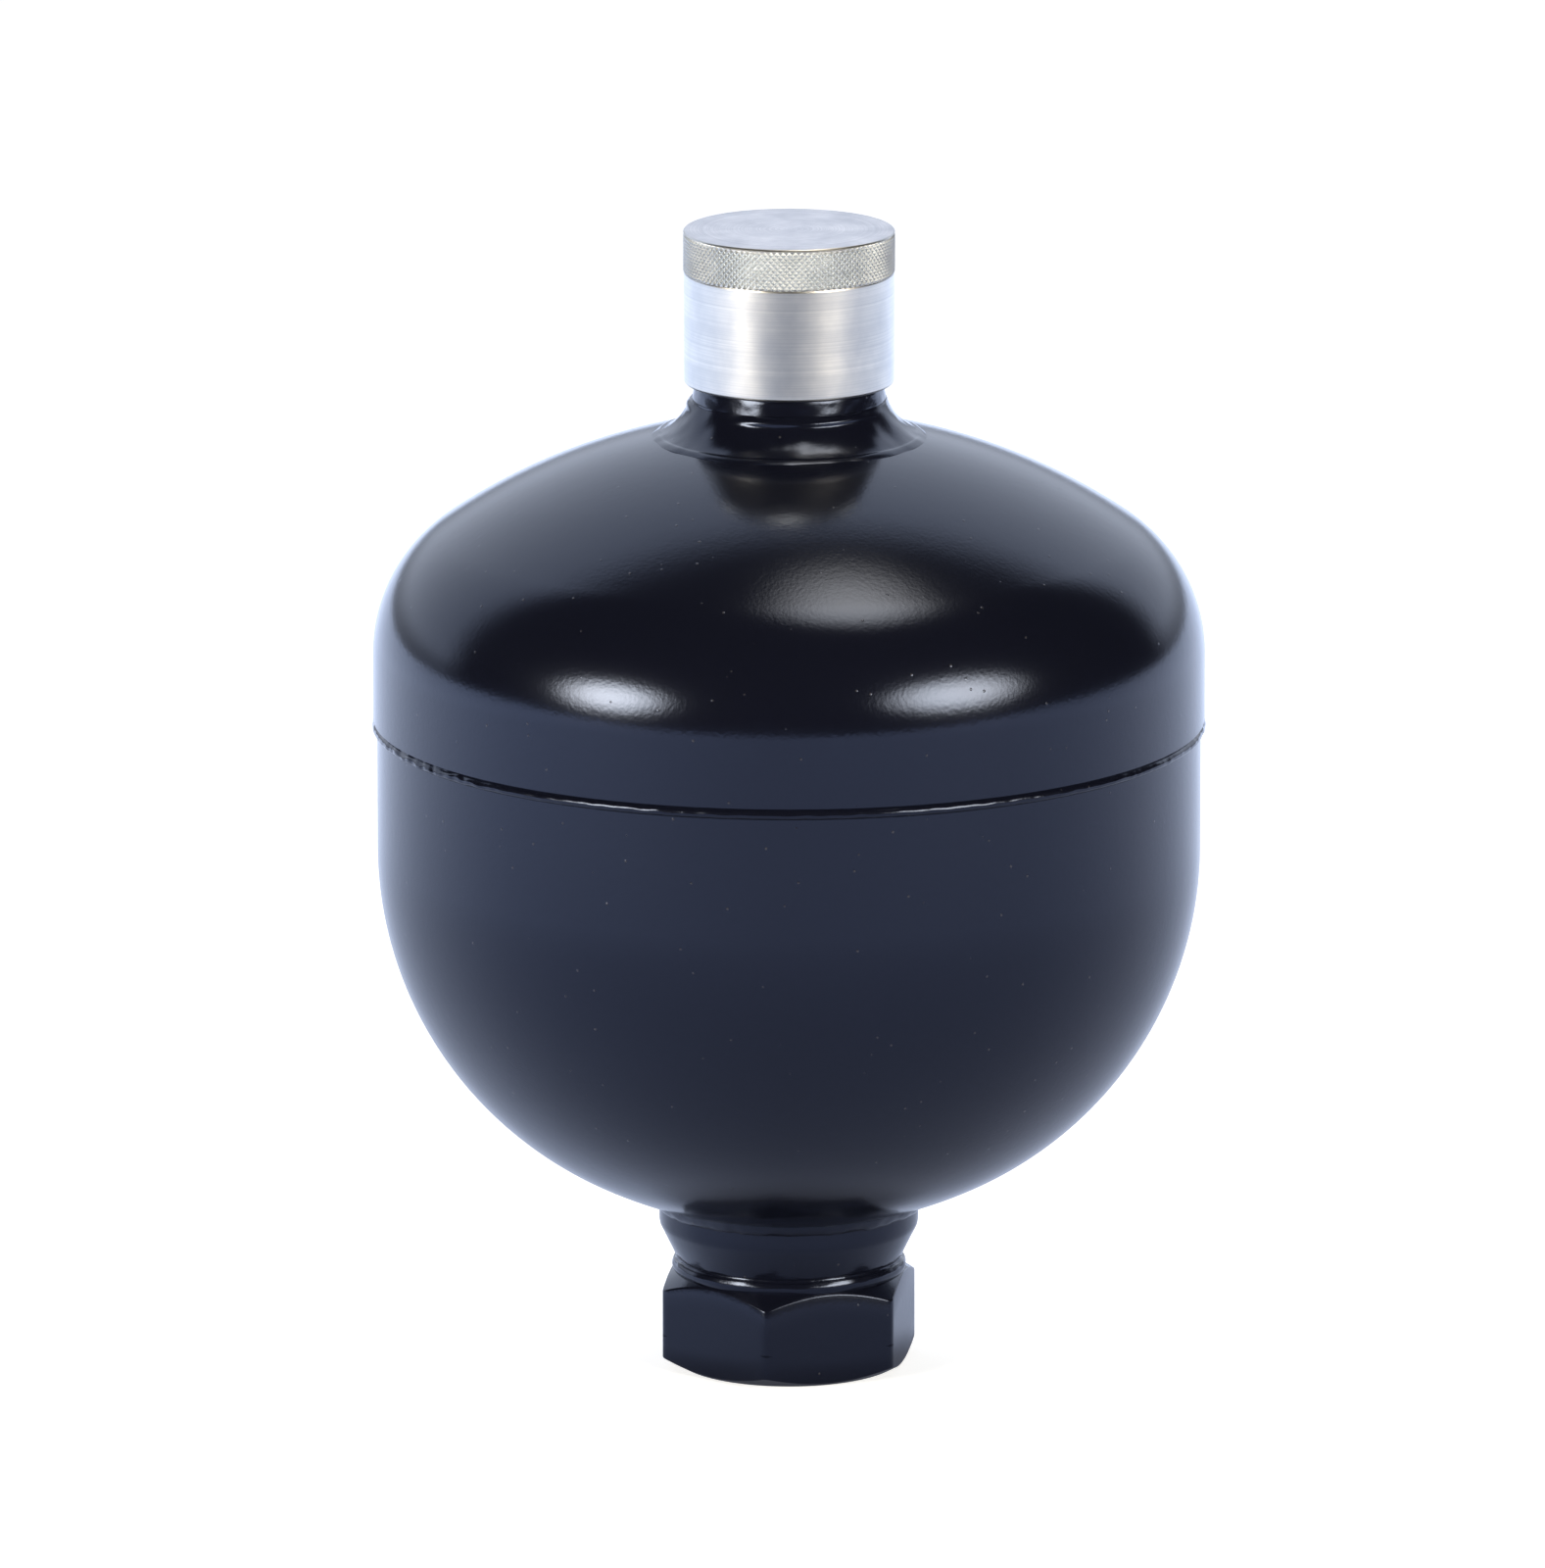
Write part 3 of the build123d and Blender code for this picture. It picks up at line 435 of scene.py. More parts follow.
# Girth weld: one machine-laid pass round the vessel, stoved over with the same lacquer. It stands
# a little proud, its ripples lean back, and it is rougher where the end laps over the start.
weld_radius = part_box("girth_weld")[1].x
weld_half_width = 0.00085
weld_form = [(-1.0, 0.0), (-0.86, 0.00026), (-0.66, 0.00050), (-0.46, 0.00059), (-0.26, 0.00061),
             (-0.06, 0.00058), (0.14, 0.00051), (0.34, 0.00038), (0.52, 0.00021), (0.68, 0.00012),
             (0.82, 0.00026), (0.92, 0.00042), (1.0, 0.00050)]
ripple_count = 210
lap_turn = radians(-140)
lap_width = 0.35
bead_wander, ripple_depth, lap_ripple = 0.00016, 0.00003, 0.00013
bead_stray, lap_stray = 0.00014, 0.00055


def girth_bead(radius, height, turn):
    """Lets the bead wander and ripple, and roughens it near the lap."""
    across = (height - seam) / weld_half_width
    if radius < groove_root + 1e-6 or abs(across) > 0.99:
        return radius, height
    near_lap = max(0.0, 1 - abs((turn - lap_turn + pi) % tau - pi) / lap_width)
    round_way = Vector((cos(turn), sin(turn), 0))
    lean = turn + 0.016 * across ** 2 + 0.010 * near_lap * across
    ripple = noise.noise(Vector((cos(lean), sin(lean), 0)) * ripple_count / 4.5)
    crown = 1 - across ** 2
    radius += crown * (bead_wander * noise.noise(round_way * 9)
                       + bead_wander / 4 * noise.noise(round_way * 34))
    radius += crown * ripple * (ripple_depth + lap_ripple * near_lap)
    height += crown * bead_stray * noise.noise(round_way * 24)
    lap_way = round_way * 21 + Vector((0, 3, across / 2))
    height += crown * lap_stray * near_lap * noise.noise(lap_way)
    return min(radius, weld_radius - 0.00002), height


bead_outline = []
for (low, foot), (high, top) in zip(weld_form, weld_form[1:]):
    bead_outline += [(lower_radius + foot + (top - foot) * i / 2,
                      seam + weld_half_width * (low + (high - low) * i / 2)) for i in range(2)]
bead_outline.append((upper_radius, seam + weld_half_width))
girth_weld = turned("girth_weld_bead", [(lacquer, bead_outline + [(groove_root, seam)])],
                    sides=1440, stray=girth_bead)
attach(girth_weld, "vessel")
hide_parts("girth_weld")


# Bare turned steel of the neck's thread and of the pieces inside: oiled, grey, with the fine
# rings that a lathe tool leaves.
patch_size, gloss_spread, shade_span = 0.004, 0.05, (0.12, 0.40)


def turned_metal(name, dark, light, gloss, ring_size=0.00009, ring_depth=0.0000015, metallic=1.0):
    """A turned metal. Fine rings run round the axis, over slower changes of shade and gloss."""
    material, tree, shader = new_material(name)
    place = add_node(tree, "ShaderNodeTexCoord")
    parts = add_node(tree, "ShaderNodeSeparateXYZ", {}, {0: place.outputs["Object"]})
    flat = add_node(tree, "ShaderNodeCombineXYZ", {}, {0: parts.outputs[0], 1: parts.outputs[1]})
    out = add_node(tree, "ShaderNodeVectorMath", {}, {0: flat.outputs[0]}, operation="LENGTH")
    across = add_node(tree, "ShaderNodeCombineXYZ", {}, {0: out.outputs["Value"],
                      2: parts.outputs[2]})
    rings = add_node(tree, "ShaderNodeTexNoise", {"Scale": 1 / ring_size, "Detail": 3.0},
                     {"Vector": across.outputs[0]})
    patches = add_node(tree, "ShaderNodeTexNoise", {"Scale": 1 / patch_size, "Detail": 4.0},
                       {"Vector": place.outputs["Object"]})
    blend = add_node(tree, "ShaderNodeMath", {}, {0: rings.outputs["Fac"],
                     1: patches.outputs["Fac"]}, operation="MULTIPLY")
    span = add_node(tree, "ShaderNodeMapRange", {1: shade_span[0], 2: shade_span[1]},
                    {0: blend.outputs[0]})
    colour = add_node(tree, "ShaderNodeMix", {"A": linear(dark), "B": linear(light)},
                      {"Factor": span.outputs["Result"]}, data_type="RGBA")
    tree.links.new(colour.outputs["Result"], shader.inputs["Base Color"])
    shine = add_node(tree, "ShaderNodeMapRange", {3: gloss - gloss_spread, 4: gloss + gloss_spread},
                     {0: patches.outputs["Fac"]})
    tree.links.new(shine.outputs["Result"], shader.inputs["Roughness"])
    shader.inputs["Metallic"].default_value = metallic
    cut = add_node(tree, "ShaderNodeBump", {"Strength": 1.0, "Distance": ring_depth},
                   {"Height": rings.outputs["Fac"]})
    tree.links.new(cut.outputs["Normal"], shader.inputs["Normal"])
    return material


bare_steel = turned_metal("bare_turned_steel", "#6E6E6C", "#A6A6A4", 0.34)


# Gas neck: a turned boss, lacquered with the vessel up to the shoulder that the cap lands on and
# bare above it, where the M22 thread for the cap and the tapped hole for the valve are cut. Its
# painted wall draws in a little towards that shoulder.
neck_thread_root = 0.01008
neck_relief = 0.0106
neck_pitch = 0.0015
valve_bore = 0.00705
cap_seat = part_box("protective_cap")[0].z
neck_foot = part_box("gas_neck")[0].z
neck_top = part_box("gas_neck")[1].z
relief_top = cap_seat + 0.0012
ring_groove, ring_floor = 0.00837, neck_top - 0.00132
tapped_foot, drill_point = neck_foot + 0.00514, neck_foot + 0.00181
gas_passage = 0.0015
neck_lean, lean_foot, neck_shoulder = 0.00035, neck_seat + 0.0038, 0.0005


def painted_neck(radius, height, turn):
    """Makes the painted wall a little uneven and draws it in towards the shoulder."""
    if neck_seat - 1e-6 < height < cap_seat - 1e-6 and radius > neck_radius - 1e-6:
        way = Vector((cos(turn) * radius, sin(turn) * radius, height * 1.3))
        radius += 0.00010 * noise.noise(way * 260) + 0.00005 * noise.noise(way * 600) - 0.0001
        radius -= neck_lean * max(0.0, (height - lean_foot) / (cap_seat - lean_foot))
    return radius, height


neck_wall = [(neck_radius, neck_seat + (cap_seat - 0.0003 - neck_seat) * i / 16) for i in range(17)]
gas_neck = turned("gas_neck_turned", [
    (lacquer, [(neck_spigot_radius - 0.00005, neck_seat)] + neck_wall
     + [(neck_radius - neck_shoulder, cap_seat)]),
    (bare_steel, [(neck_relief, cap_seat), (neck_relief, relief_top),
                  (neck_thread_root, relief_top + 0.0004),
                  (neck_thread_root, neck_top - 0.0006), (neck_thread_root - 0.0006, neck_top),
                  (ring_groove, neck_top), (ring_groove, ring_floor), (valve_bore, ring_floor),
                  (valve_bore, tapped_foot), (gas_passage, drill_point), (gas_passage, neck_foot),
                  (neck_spigot_radius - 0.00005, neck_foot)])], sides=256, stray=painted_neck)
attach(gas_neck, "vessel")
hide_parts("gas_neck")


def grow(name, tree, material, **sizes):
    """Runs a Geometry Nodes tree with its sizes set and keeps the result as a plain mesh."""
    seed = new_piece(name + "_seed", bpy.data.meshes.new(name + "_seed"))
    modifier = seed.modifiers.new("grow", "NODES")
    modifier.node_group = tree
    for item in tree.interface.items_tree:
        if item.in_out == "INPUT" and item.name in sizes:
            modifier[item.identifier] = sizes[item.name]
    modifier[next(item.identifier for item in tree.interface.items_tree
                  if item.name == "Material")] = material
    bpy.context.view_layer.update()
    ready = seed.evaluated_get(bpy.context.evaluated_depsgraph_get())
    mesh = bpy.data.meshes.new_from_object(ready)
    bpy.data.objects.remove(seed)
    mesh.name = name
    form = bmesh.new()
    form.from_mesh(mesh)
    bmesh.ops.recalc_face_normals(form, faces=form.faces)
    form.to_mesh(mesh)
    form.free()
    return new_piece(name, mesh)


def node_tree(name, **sizes):
    """A Geometry Nodes tree with a named input for each size. Returns it with its input node."""
    tree = bpy.data.node_groups.new(name, "GeometryNodeTree")
    tree.interface.new_socket("Geometry", in_out="OUTPUT", socket_type="NodeSocketGeometry")
    for size, kind in sizes.items():
        tree.interface.new_socket(size.replace("_", " "), in_out="INPUT",
                                  socket_type="NodeSocket" + kind)
    tree.interface.new_socket("Material", in_out="INPUT", socket_type="NodeSocketMaterial")
    return tree, add_node(tree, "NodeGroupInput")


def finish_tree(tree, given, grown):
    """Ends a tree: its instances become real and take the material."""
    real = add_node(tree, "GeometryNodeRealizeInstances", {}, {0: grown})
    clad = add_node(tree, "GeometryNodeSetMaterial", {}, {"Geometry": real.outputs[0],
                    "Material": given.outputs["Material"]})
    add_node(tree, "NodeGroupOutput", {}, {"Geometry": clad.outputs[0]})


# Screw threads: a ridge with slanted flanks that runs up a helix and fades out at both ends.
ridge_root_share, ridge_crest_share, thread_run_out = 0.82, 0.12, 0.12
thread_tree, given = node_tree("screw_thread", Radius="Float", Pitch="Float", Turns="Float",
                               Foot="Float", Ridge="Float", Facing="Float", Phase="Float")
length = add_node(thread_tree, "ShaderNodeMath", {}, {0: given.outputs["Pitch"],
                  1: given.outputs["Turns"]}, operation="MULTIPLY")
helix = add_node(thread_tree, "GeometryNodeCurveSpiral", {"Resolution": 144}, {
    "Rotations": given.outputs["Turns"], "Start Radius": given.outputs["Radius"],
    "End Radius": given.outputs["Radius"], "Height": length.outputs[0]})
upright = add_node(thread_tree, "GeometryNodeSetCurveNormal", {}, {0: helix.outputs[0]},
                   mode="Z_UP")
along = add_node(thread_tree, "GeometryNodeSplineParameter")
back = add_node(thread_tree, "ShaderNodeMath", {0: 1.0}, {1: along.outputs["Factor"]},
                operation="SUBTRACT")
nearer = add_node(thread_tree, "ShaderNodeMath", {}, {0: along.outputs["Factor"],
                  1: back.outputs[0]}, operation="MINIMUM")
fade = add_node(thread_tree, "ShaderNodeMapRange", {1: 0.0, 2: thread_run_out, 3: 0.02, 4: 1.0},
                {0: nearer.outputs[0]})
scaled = add_node(thread_tree, "GeometryNodeSetCurveRadius", {}, {0: upright.outputs[0],
                  "Radius": fade.outputs["Result"]})
wide = add_node(thread_tree, "ShaderNodeMath", {1: ridge_root_share},
                {0: given.outputs["Pitch"]}, operation="MULTIPLY")
narrow = add_node(thread_tree, "ShaderNodeMath", {1: ridge_crest_share},
                  {0: given.outputs["Pitch"]}, operation="MULTIPLY")
section = add_node(thread_tree, "GeometryNodeCurvePrimitiveQuadrilateral", {"Offset": 0.0}, {
    "Bottom Width": wide.outputs[0], "Top Width": narrow.outputs[0],
    "Height": given.outputs["Ridge"]}, mode="TRAPEZOID")
face_by = add_node(thread_tree, "ShaderNodeCombineXYZ", {}, {2: given.outputs["Facing"]})
outwards = add_node(thread_tree, "GeometryNodeTransform", {}, {"Geometry": section.outputs[0],
                    "Rotation": face_by.outputs[0]})
ridge = add_node(thread_tree, "GeometryNodeCurveToMesh", {"Fill Caps": True}, {
    "Curve": scaled.outputs[0], "Profile Curve": outwards.outputs[0]})
turn_by = add_node(thread_tree, "ShaderNodeCombineXYZ", {}, {2: given.outputs["Phase"]})
lift_by = add_node(thread_tree, "ShaderNodeCombineXYZ", {}, {2: given.outputs["Foot"]})
placed = add_node(thread_tree, "GeometryNodeTransform", {}, {"Geometry": ridge.outputs[0],
                  "Translation": lift_by.outputs[0], "Rotation": turn_by.outputs[0]})
finish_tree(thread_tree, given, placed.outputs[0])
neck_thread = grow("gas_neck_thread", thread_tree, bare_steel, Radius=0.0106, Pitch=neck_pitch,
                   Turns=2.85, Foot=relief_top + 0.0006, Ridge=0.0009, Facing=-pi / 2, Phase=0.0)
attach(neck_thread, "vessel")


# Fillet weld of the neck: a hand-laid pass, so it is lumpy under the lacquer, concave against the
# neck, with a small toe bead that wanders on the dome.
neck_weld_top = neck_seat + 0.0041
fillet_radius = neck_radius + 0.0039
toe_radius = fillet_radius + 0.0011
weld_hollow = 0.0006


def dome_level(radius):
    """Height of the dome's crown at a radius from the axis."""
    return upper_crown_level + sqrt(upper_crown ** 2 - radius ** 2)


def hollow(start, end, depth, steps):
    """A line from a point on a wall to a point below it and further out, bent inwards."""
    bends = [(i / steps, depth * 4 * i / steps * (1 - i / steps) / sqrt(2))
             for i in range(steps + 1)]
    return [(start[0] + (end[0] - start[0]) * share - bend,
             start[1] + (end[1] - start[1]) * share - bend) for share, bend in bends]


def lumpy_fillet(radius, height, turn):
    """Makes the fillet lumpy and gives its top a roll that comes and goes."""
    if radius < neck_radius + 0.00003:
        return radius, height
    way = Vector((cos(turn) * radius, sin(turn) * radius, height))
    lump = 0.00020 * noise.noise(way * 170) + 0.00005 * noise.noise(way * 420)
    roll = max(0.0, 1 - abs(height - neck_weld_top + 0.0007) / 0.0007)
    patchy = min(1.0, max(0.0, 0.4 + 2.2 * noise.noise(way * 130)))
    return radius + lump + 0.00026 * patchy * sin(pi / 2 * roll) ** 2, height + 0.8 * lump


neck_weld_skin = hollow((neck_radius, neck_weld_top), (fillet_radius, dome_level(fillet_radius)
                        + 0.00028), weld_hollow, 44)
neck_weld_skin += [(fillet_radius + (toe_radius - fillet_radius) * i / 6,
                    dome_level(fillet_radius + (toe_radius - fillet_radius) * i / 6)
                    + 0.00030 * sin(pi * (0.40 + 0.60 * i / 6))) for i in range(1, 7)]
gas_neck_weld = turned("gas_neck_weld_bead", [(lacquer, [(neck_radius - 0.0002, neck_seat)]
                       + [(neck_radius - 0.0002, neck_weld_top)] + neck_weld_skin
                       + [(toe_radius, dome_level(toe_radius) - 0.0003)])],
                       sides=384, stray=lumpy_fillet)
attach(gas_neck_weld, "vessel")
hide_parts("gas_neck_weld")


# Fluid port: a forged and turned hexagon of 30 mm across flats with a round neck that carries the
# bowl, lacquered outside and bare in its G 1/2 thread and oil passage.
hex_flats = 0.0300
hex_height = 0.0122
foot_slope = 0.55
top_slope = 0.70
hex_corner = 70
port_face_radius = 0.0142
port_major, port_minor, port_pitch = 0.010478, 0.009316, 0.001814
port_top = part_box("fluid_port")[1].z
hex_mark = 0.02
groove_level, groove_radius = 0.0140, 0.0144
collar_radius, collar_cone = 0.0166, 0.0044
port_spigot, oil_hole, oil_round = 0.01095, 0.0050, 0.0008
drill_radius, drill_end, port_thread_end, port_chamfer = 0.0106, 0.0160, 0.0137, 0.0003


def hexagon(turn):
    """Distance from the axis to the hexagon's side. Its corners are a little rounded."""
    reach = sum(max(0.0, cos(turn - k * pi / 3)) ** hex_corner for k in range(6))
    return hex_flats / 2 / reach ** (1 / hex_corner)


def hex_form(radius, height, turn):
    """A radius over the mark stands for the hexagon's side, less what it is over the mark."""
    if radius < hex_mark - 0.001:
        if radius > port_face_radius and height > hex_height + 0.0001:
            way = Vector((cos(turn) * radius, sin(turn) * radius, height))
            near = max(0.0, 1 - abs(height - groove_level + 0.0004) / 0.0014)
            radius += 0.00005 * noise.noise(way * 200) + 0.00016 * near * noise.noise(way * 420)
            height += 0.00016 * near * noise.noise(way * 260)
        return radius, height
    side = hexagon(turn) - (radius - hex_mark)
    if height < hex_height / 2:
        return side, height + (hexagon(turn) - port_face_radius) * foot_slope
    return side, height - (hexagon(turn) - port_neck_radius) * top_slope


port_edge = 0.00013
port_skin = [(port_major + port_chamfer, 0), (port_face_radius, 0),
             (hex_mark + port_edge, -port_edge * foot_slope),
             (hex_mark + port_edge * 0.3, port_edge * 0.5), (hex_mark, port_edge * 1.3)]
port_skin += [(hex_mark, port_edge * 1.3 + (hex_height - 2.6 * port_edge) * i / 4)
              for i in range(1, 4)]
port_skin += [(hex_mark, hex_height - port_edge * 1.3),
              (hex_mark + port_edge * 0.3, hex_height - port_edge * 0.5),
              (hex_mark + port_edge, hex_height + port_edge * top_slope),
              (port_neck_radius, hex_height)]
port_skin += [(port_neck_radius + 0.0002 * sin(pi * i / 8), hex_height + 0.0014 * i / 8)
              for i in range(1, 9)]
port_skin += [(port_neck_radius - 0.0004 * sin(pi / 2 * i / 4), groove_level - 0.0004
               + 0.0004 * (1 - cos(pi / 2 * i / 4))) for i in range(1, 5)]
port_skin += [(groove_radius + (collar_radius - groove_radius) * i / 14,
               groove_level + collar_cone * i / 14) for i in range(1, 14)]
port_skin += [(collar_radius - 0.00008, groove_level + collar_cone - 0.0001),
              (collar_radius, groove_level + collar_cone + 0.0004),
              (collar_radius, port_seat - 0.0015), (collar_radius, port_seat)]
fluid_port = turned("fluid_port_hexagon", [
    (lacquer, port_skin),
    (mill_steel, [(port_spigot, port_seat), (port_spigot, port_top)]
     + arc((oil_hole + oil_round, port_top - oil_round), oil_round, 90, 180, 6)
     + [(oil_hole, drill_end), (drill_radius, drill_end), (drill_radius, 0.0140)]),
    (bare_steel, [(port_major, port_thread_end), (port_major, port_chamfer)])],
    sides=360, sharp=24, stray=hex_form)
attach(fluid_port, "vessel")
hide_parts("fluid_port")
port_thread = grow("fluid_port_thread", thread_tree, bare_steel,
                   Radius=(port_major + port_minor) / 2, Pitch=port_pitch, Turns=6.6,
                   Foot=0.0009, Ridge=port_major - port_minor, Facing=pi / 2, Phase=0.0)
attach(port_thread, "vessel")


# Weld of the port: it fills the gap between the collar and the bowl, and ends in a narrow, uneven
# fillet that wets the bowl.
port_toe = collar_radius + 0.0009


def bowl_level(radius):
    """Height of the bowl's crown at a radius from the axis."""
    return lower_crown_level - sqrt(lower_crown ** 2 - radius ** 2)


def lumpy_bead(radius, height, turn):
    """Makes the fillet on the bowl lumpy."""
    if radius < collar_radius - 0.0001:
        return radius, height
    way = Vector((cos(turn) * radius, sin(turn) * radius, height))
    lump = 0.00010 * noise.noise(way * 260) + 0.00006 * noise.noise(way * 620)
    return radius + lump, height - lump


port_fillet = [(collar_radius + (port_toe - collar_radius) * i / 10 + 0.00005,
                port_seat - 0.0006 + (bowl_level(port_toe) - port_seat + 0.0006) * i / 10
                - 0.00016 * sin(pi * i / 10)) for i in range(11)]
fluid_port_weld = turned("fluid_port_weld_bead", [(lacquer, [(port_neck_radius, port_seat),
                         (collar_radius - 0.0002, port_seat - 0.0003)] + port_fillet
                         + [(port_toe, bowl_level(port_toe) + 0.0003)])],
                         sides=384, stray=lumpy_bead)
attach(fluid_port_weld, "vessel")
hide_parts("fluid_port_weld")


# Protective cap: turned from steel bar and zinc plated with a pale blue passivation. It has a
# knurled band at the top, a plain skirt with rounded edges, and a thread inside.
zinc = turned_metal("zinc_plated_turned_steel", "#B6B6B4", "#D0CEC8", 0.31, ring_size=0.00016,
                    ring_depth=0.0000006)
faced_zinc = turned_metal("zinc_plated_faced_end", "#B2B6C0", "#DDDFE6", 0.42, metallic=0.6)
# Painted light: the knurl's zinc is a lighter copy of the skirt's, standing in for the light on its
# facets.
knurl_zinc_painted_light = turned_metal("zinc_plated_knurl_painted_light", "#CFD4D8", "#E6EAEC", 0.46, ring_depth=0.0)
cap_radius = 0.013375
band_radius = 0.013240
knurl_radius = 0.013475
cap_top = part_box("protective_cap")[1].z
knurl_foot = cap_top - 0.0055
cap_bore, cap_cavity, cap_mouth = 0.01105, 0.01045, 0.01184
cap_thread_end = neck_top + 0.0005
cap_ceiling = cap_top - 0.0030
edge_round = 0.0004
protective_cap = turned("protective_cap_turned", [
    (faced_zinc, [(0, cap_top)] + arc((knurl_radius - edge_round, cap_top - edge_round),
                                      edge_round, 90, 60, 3)),
    (zinc, arc((knurl_radius - edge_round, cap_top - edge_round), edge_round, 60, 20, 4)
     + [(band_radius, cap_top - 0.00045), (band_radius, knurl_foot + 0.0001)]
     + [(cap_radius - 0.00003, knurl_foot + 0.00008), (cap_radius, knurl_foot)]
     + [(cap_radius, knurl_foot - 0.0002 - (knurl_foot - cap_seat - 0.0010) * i / 6)
        for i in range(7)]
     + arc((cap_radius - edge_round, cap_seat + edge_round), edge_round, 0, -90, 6)
     + [(cap_mouth, cap_seat), (cap_mouth, relief_top), (cap_bore, relief_top),
        (cap_bore, cap_thread_end), (cap_cavity, cap_thread_end), (cap_cavity, cap_ceiling),
        (0, cap_ceiling)])], sides=256)
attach(protective_cap, "protective_cap")
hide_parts("protective_cap")
cap_thread = grow("protective_cap_thread", thread_tree, zinc, Radius=0.01063, Pitch=neck_pitch,
                  Turns=3.1, Foot=relief_top + 0.0004, Ridge=0.0008, Facing=pi / 2, Phase=pi)
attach(cap_thread, "protective_cap")


# Knurl: rows of small pyramids, each row turned by half a tooth against the one below it.
tooth_flat = 0.08
knurl_tree, given = node_tree("diamond_knurl", Teeth="Int", Rows="Int", Radius="Float",
                              Tooth="Float", Rise="Float", Foot="Float")
tooth = add_node(knurl_tree, "GeometryNodeMeshCone", {"Vertices": 4, "Side Segments": 1,
                 "Fill Segments": 1}, {"Radius Bottom": given.outputs["Tooth"],
                 "Depth": given.outputs["Rise"]}, fill_type="NGON")
blunt = add_node(knurl_tree, "ShaderNodeMath", {1: tooth_flat}, {0: given.outputs["Tooth"]},
                 operation="MULTIPLY")
knurl_tree.links.new(blunt.outputs[0], tooth.inputs["Radius Top"])
circle = add_node(knurl_tree, "GeometryNodeMeshCircle", {}, {"Vertices": given.outputs["Teeth"],
                  "Radius": given.outputs["Radius"]})
spot = add_node(knurl_tree, "GeometryNodeInputPosition")
outward = add_node(knurl_tree, "FunctionNodeAxesToRotation", {"Secondary Axis": (0, 0, 1)},
                   {"Primary Axis": spot.outputs[0]}, primary_axis="Z", secondary_axis="X")
ring = add_node(knurl_tree, "GeometryNodeInstanceOnPoints", {}, {"Points": circle.outputs[0],
                "Instance": tooth.outputs[0], "Rotation": outward.outputs[0]})
step_up = add_node(knurl_tree, "ShaderNodeCombineXYZ", {}, {2: given.outputs["Tooth"]})
start_at = add_node(knurl_tree, "ShaderNodeCombineXYZ", {}, {2: given.outputs["Foot"]})
rows = add_node(knurl_tree, "GeometryNodeMeshLine", {}, {"Count": given.outputs["Rows"],
                "Start Location": start_at.outputs[0], "Offset": step_up.outputs[0]})
number = add_node(knurl_tree, "GeometryNodeInputIndex")
odd = add_node(knurl_tree, "ShaderNodeMath", {1: 2.0}, {0: number.outputs[0]}, operation="MODULO")
half_tooth = add_node(knurl_tree, "ShaderNodeMath", {0: pi}, {1: given.outputs["Teeth"]},
                      operation="DIVIDE")
shifted = add_node(knurl_tree, "ShaderNodeMath", {}, {0: odd.outputs[0],
                   1: half_tooth.outputs[0]}, operation="MULTIPLY")
turn_by = add_node(knurl_tree, "ShaderNodeCombineXYZ", {}, {2: shifted.outputs[0]})
band = add_node(knurl_tree, "GeometryNodeInstanceOnPoints", {}, {"Points": rows.outputs[0],
                "Instance": ring.outputs[0], "Rotation": turn_by.outputs[0]})
finish_tree(knurl_tree, given, band.outputs[0])
knurl_teeth = 106
knurl_tooth = pi * knurl_radius / knurl_teeth
knurl = grow("protective_cap_knurl", knurl_tree, knurl_zinc_painted_light, Teeth=knurl_teeth, Rows=12,
             Radius=band_radius - 0.00001, Tooth=knurl_tooth, Rise=knurl_radius - band_radius,
             Foot=knurl_foot + knurl_tooth * 0.9)
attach(knurl, "protective_cap")


# Rubber of the diaphragm and the seals: black nitrile, matt from the mould, with a faint bloom.
rubber, tree, shader = new_material("black_nitrile_rubber")
bloom_size, pore_size, pore_depth = 0.003, 0.0003, 0.000004
place = add_node(tree, "ShaderNodeTexCoord")
bloom = add_node(tree, "ShaderNodeTexNoise", {"Scale": 1 / bloom_size, "Detail": 5.0},
                 {"Vector": place.outputs["Object"]})
tone = add_node(tree, "ShaderNodeMix", {"A": linear("#17171A"), "B": linear("#2E2D2F")},
                {"Factor": bloom.outputs["Fac"]}, data_type="RGBA")
tree.links.new(tone.outputs["Result"], shader.inputs["Base Color"])
skin = add_node(tree, "ShaderNodeMapRange", {3: 0.50, 4: 0.68}, {0: bloom.outputs["Fac"]})
tree.links.new(skin.outputs["Result"], shader.inputs["Roughness"])
pores = add_node(tree, "ShaderNodeTexNoise", {"Scale": 1 / pore_size, "Detail": 2.0},
                 {"Vector": place.outputs["Object"]})
dent = add_node(tree, "ShaderNodeBump", {"Strength": 1.0, "Distance": pore_depth},
                {"Height": pores.outputs["Fac"]})
tree.links.new(dent.outputs["Normal"], shader.inputs["Normal"])


# Diaphragm: a moulded rubber bowl that hangs from its rim bead, with a thick hub round the
# button. Its rim stays in the shell.
diaphragm_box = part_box("diaphragm")
rim_radius, rim_height = 0.04908, 0.004
ledge = diaphragm_box[1].z - rim_height
d_inset, d_outer, d_crown, d_wall = 0.0050, 0.0406, 0.0535, 0.0022
d_radius = d_inset + d_outer
d_level = lower_crown_level - sqrt((d_crown - d_outer) ** 2 - d_inset ** 2)
pocket, hub, hub_hole = 0.00862, 0.01012, 0.00262
button_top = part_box("diaphragm_button")[0].z + 0.0020
hub_top = button_top + 0.0028
rib = 0.04755
outside = dished_end((d_inset, d_level), d_outer, d_crown, pocket, -1, 40)
inside = dished_end((d_inset, d_level), d_outer - d_wall, d_crown - d_wall, hub, -1, 40)
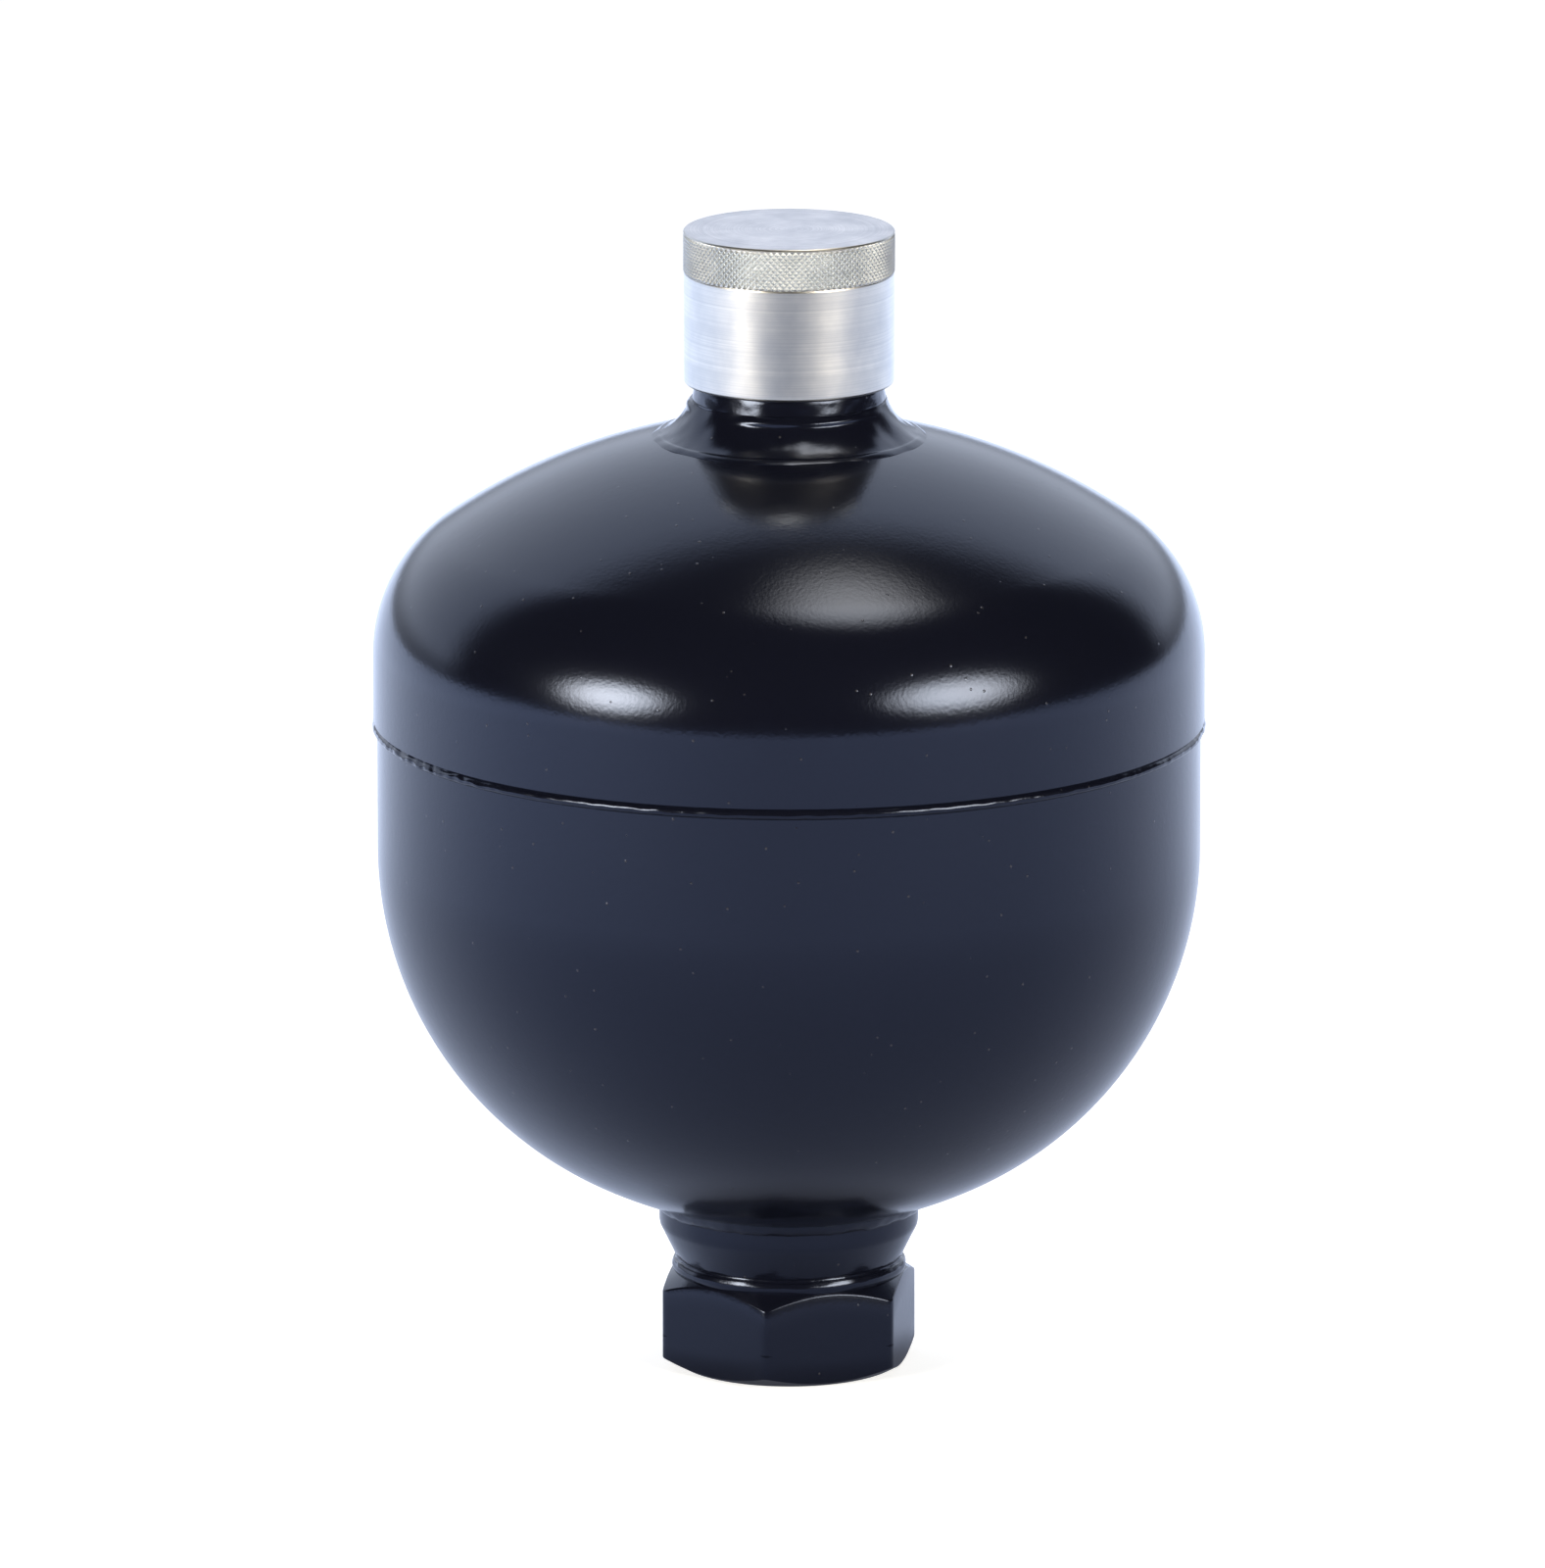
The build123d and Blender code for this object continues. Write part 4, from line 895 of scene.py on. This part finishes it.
shoulder = [(d_radius - d_wall * cos(pi / 2 * i / 6), ledge + 0.0020 + 0.0020 * sin(pi / 2 * i / 6))
            for i in range(7)]
wall_steps = [(d_radius, ledge - 0.001 - (ledge - 0.001 - d_level) * i / 8) for i in range(8)]
inner_steps = [(d_radius - d_wall, d_level + (ledge + 0.0020 - d_level) * i / 8)
               for i in range(1, 8)]
diaphragm = turned("diaphragm_moulding", [(rubber,
    [(rib + 0.0006, ledge + rim_height), (rim_radius, ledge + rim_height), (rim_radius, ledge),
     (d_radius + 0.001, ledge)] + wall_steps + outside
    + [(pocket, button_top), (hub_hole, button_top), (hub_hole, hub_top), (pocket, hub_top)]
    + [(pocket + 0.0005, hub_top - 0.0003)] + inside[::-1] + inner_steps + shoulder
    + [(rib - 0.0006, ledge + rim_height), (rib, ledge + 0.0034)])], sides=192)
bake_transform(diaphragm)
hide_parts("diaphragm")


# Coil spring of the valve core: hard-drawn steel wire between the barrel's ledge and the collar
# of the pin.
spring_tree, given = node_tree("coil_spring", Radius="Float", Wire="Float", Turns="Float",
                               Height="Float", Foot="Float")
coil = add_node(spring_tree, "GeometryNodeCurveSpiral", {"Resolution": 28}, {
    "Rotations": given.outputs["Turns"], "Start Radius": given.outputs["Radius"],
    "End Radius": given.outputs["Radius"], "Height": given.outputs["Height"]})
wire = add_node(spring_tree, "GeometryNodeCurvePrimitiveCircle", {"Resolution": 10},
                {"Radius": given.outputs["Wire"]})
swept = add_node(spring_tree, "GeometryNodeCurveToMesh", {"Fill Caps": True},
                 {"Curve": coil.outputs[0], "Profile Curve": wire.outputs[0]})
lift_by = add_node(spring_tree, "ShaderNodeCombineXYZ", {}, {2: given.outputs["Foot"]})
placed = add_node(spring_tree, "GeometryNodeTransform", {}, {"Geometry": swept.outputs[0],
                  "Translation": lift_by.outputs[0]})
finish_tree(spring_tree, given, placed.outputs[0])
spring_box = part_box("valve_core_spring")
wire_radius = 0.00014
spring = grow("valve_core_coil", spring_tree, bare_steel, Radius=spring_box[1].x - wire_radius,
              Wire=wire_radius, Turns=7.0, Height=spring_box[1].z - spring_box[0].z
              - 2 * wire_radius, Foot=spring_box[0].z + wire_radius)
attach(spring, "vessel")
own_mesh(spring)
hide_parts("valve_core_spring")


# The pieces inside keep the shapes of the frame: steel for the ring and the button, plated steel
# for the valve body, brass for the core and its cap, and white PTFE for the cone gasket.
brass = turned_metal("turned_brass", "#9C7C40", "#D2B26C", 0.30)
ptfe = turned_metal("white_ptfe", "#D4D2CA", "#E8E6DF", 0.45, metallic=0.0)
for material, names in {
        bare_steel: ["clamp_ring", "diaphragm_button", "button_washer"],
        zinc: ["gas_valve_body"],
        brass: ["valve_core_barrel", "valve_core_pin", "valve_cap"],
        ptfe: ["valve_core_gasket"],
        rubber: ["gas_valve_ring", "valve_core_seal", "valve_cap_seal", "cap_ring"]}.items():
    for name in names:
        for slot in nodes[name].material_slots:
            slot.material = material
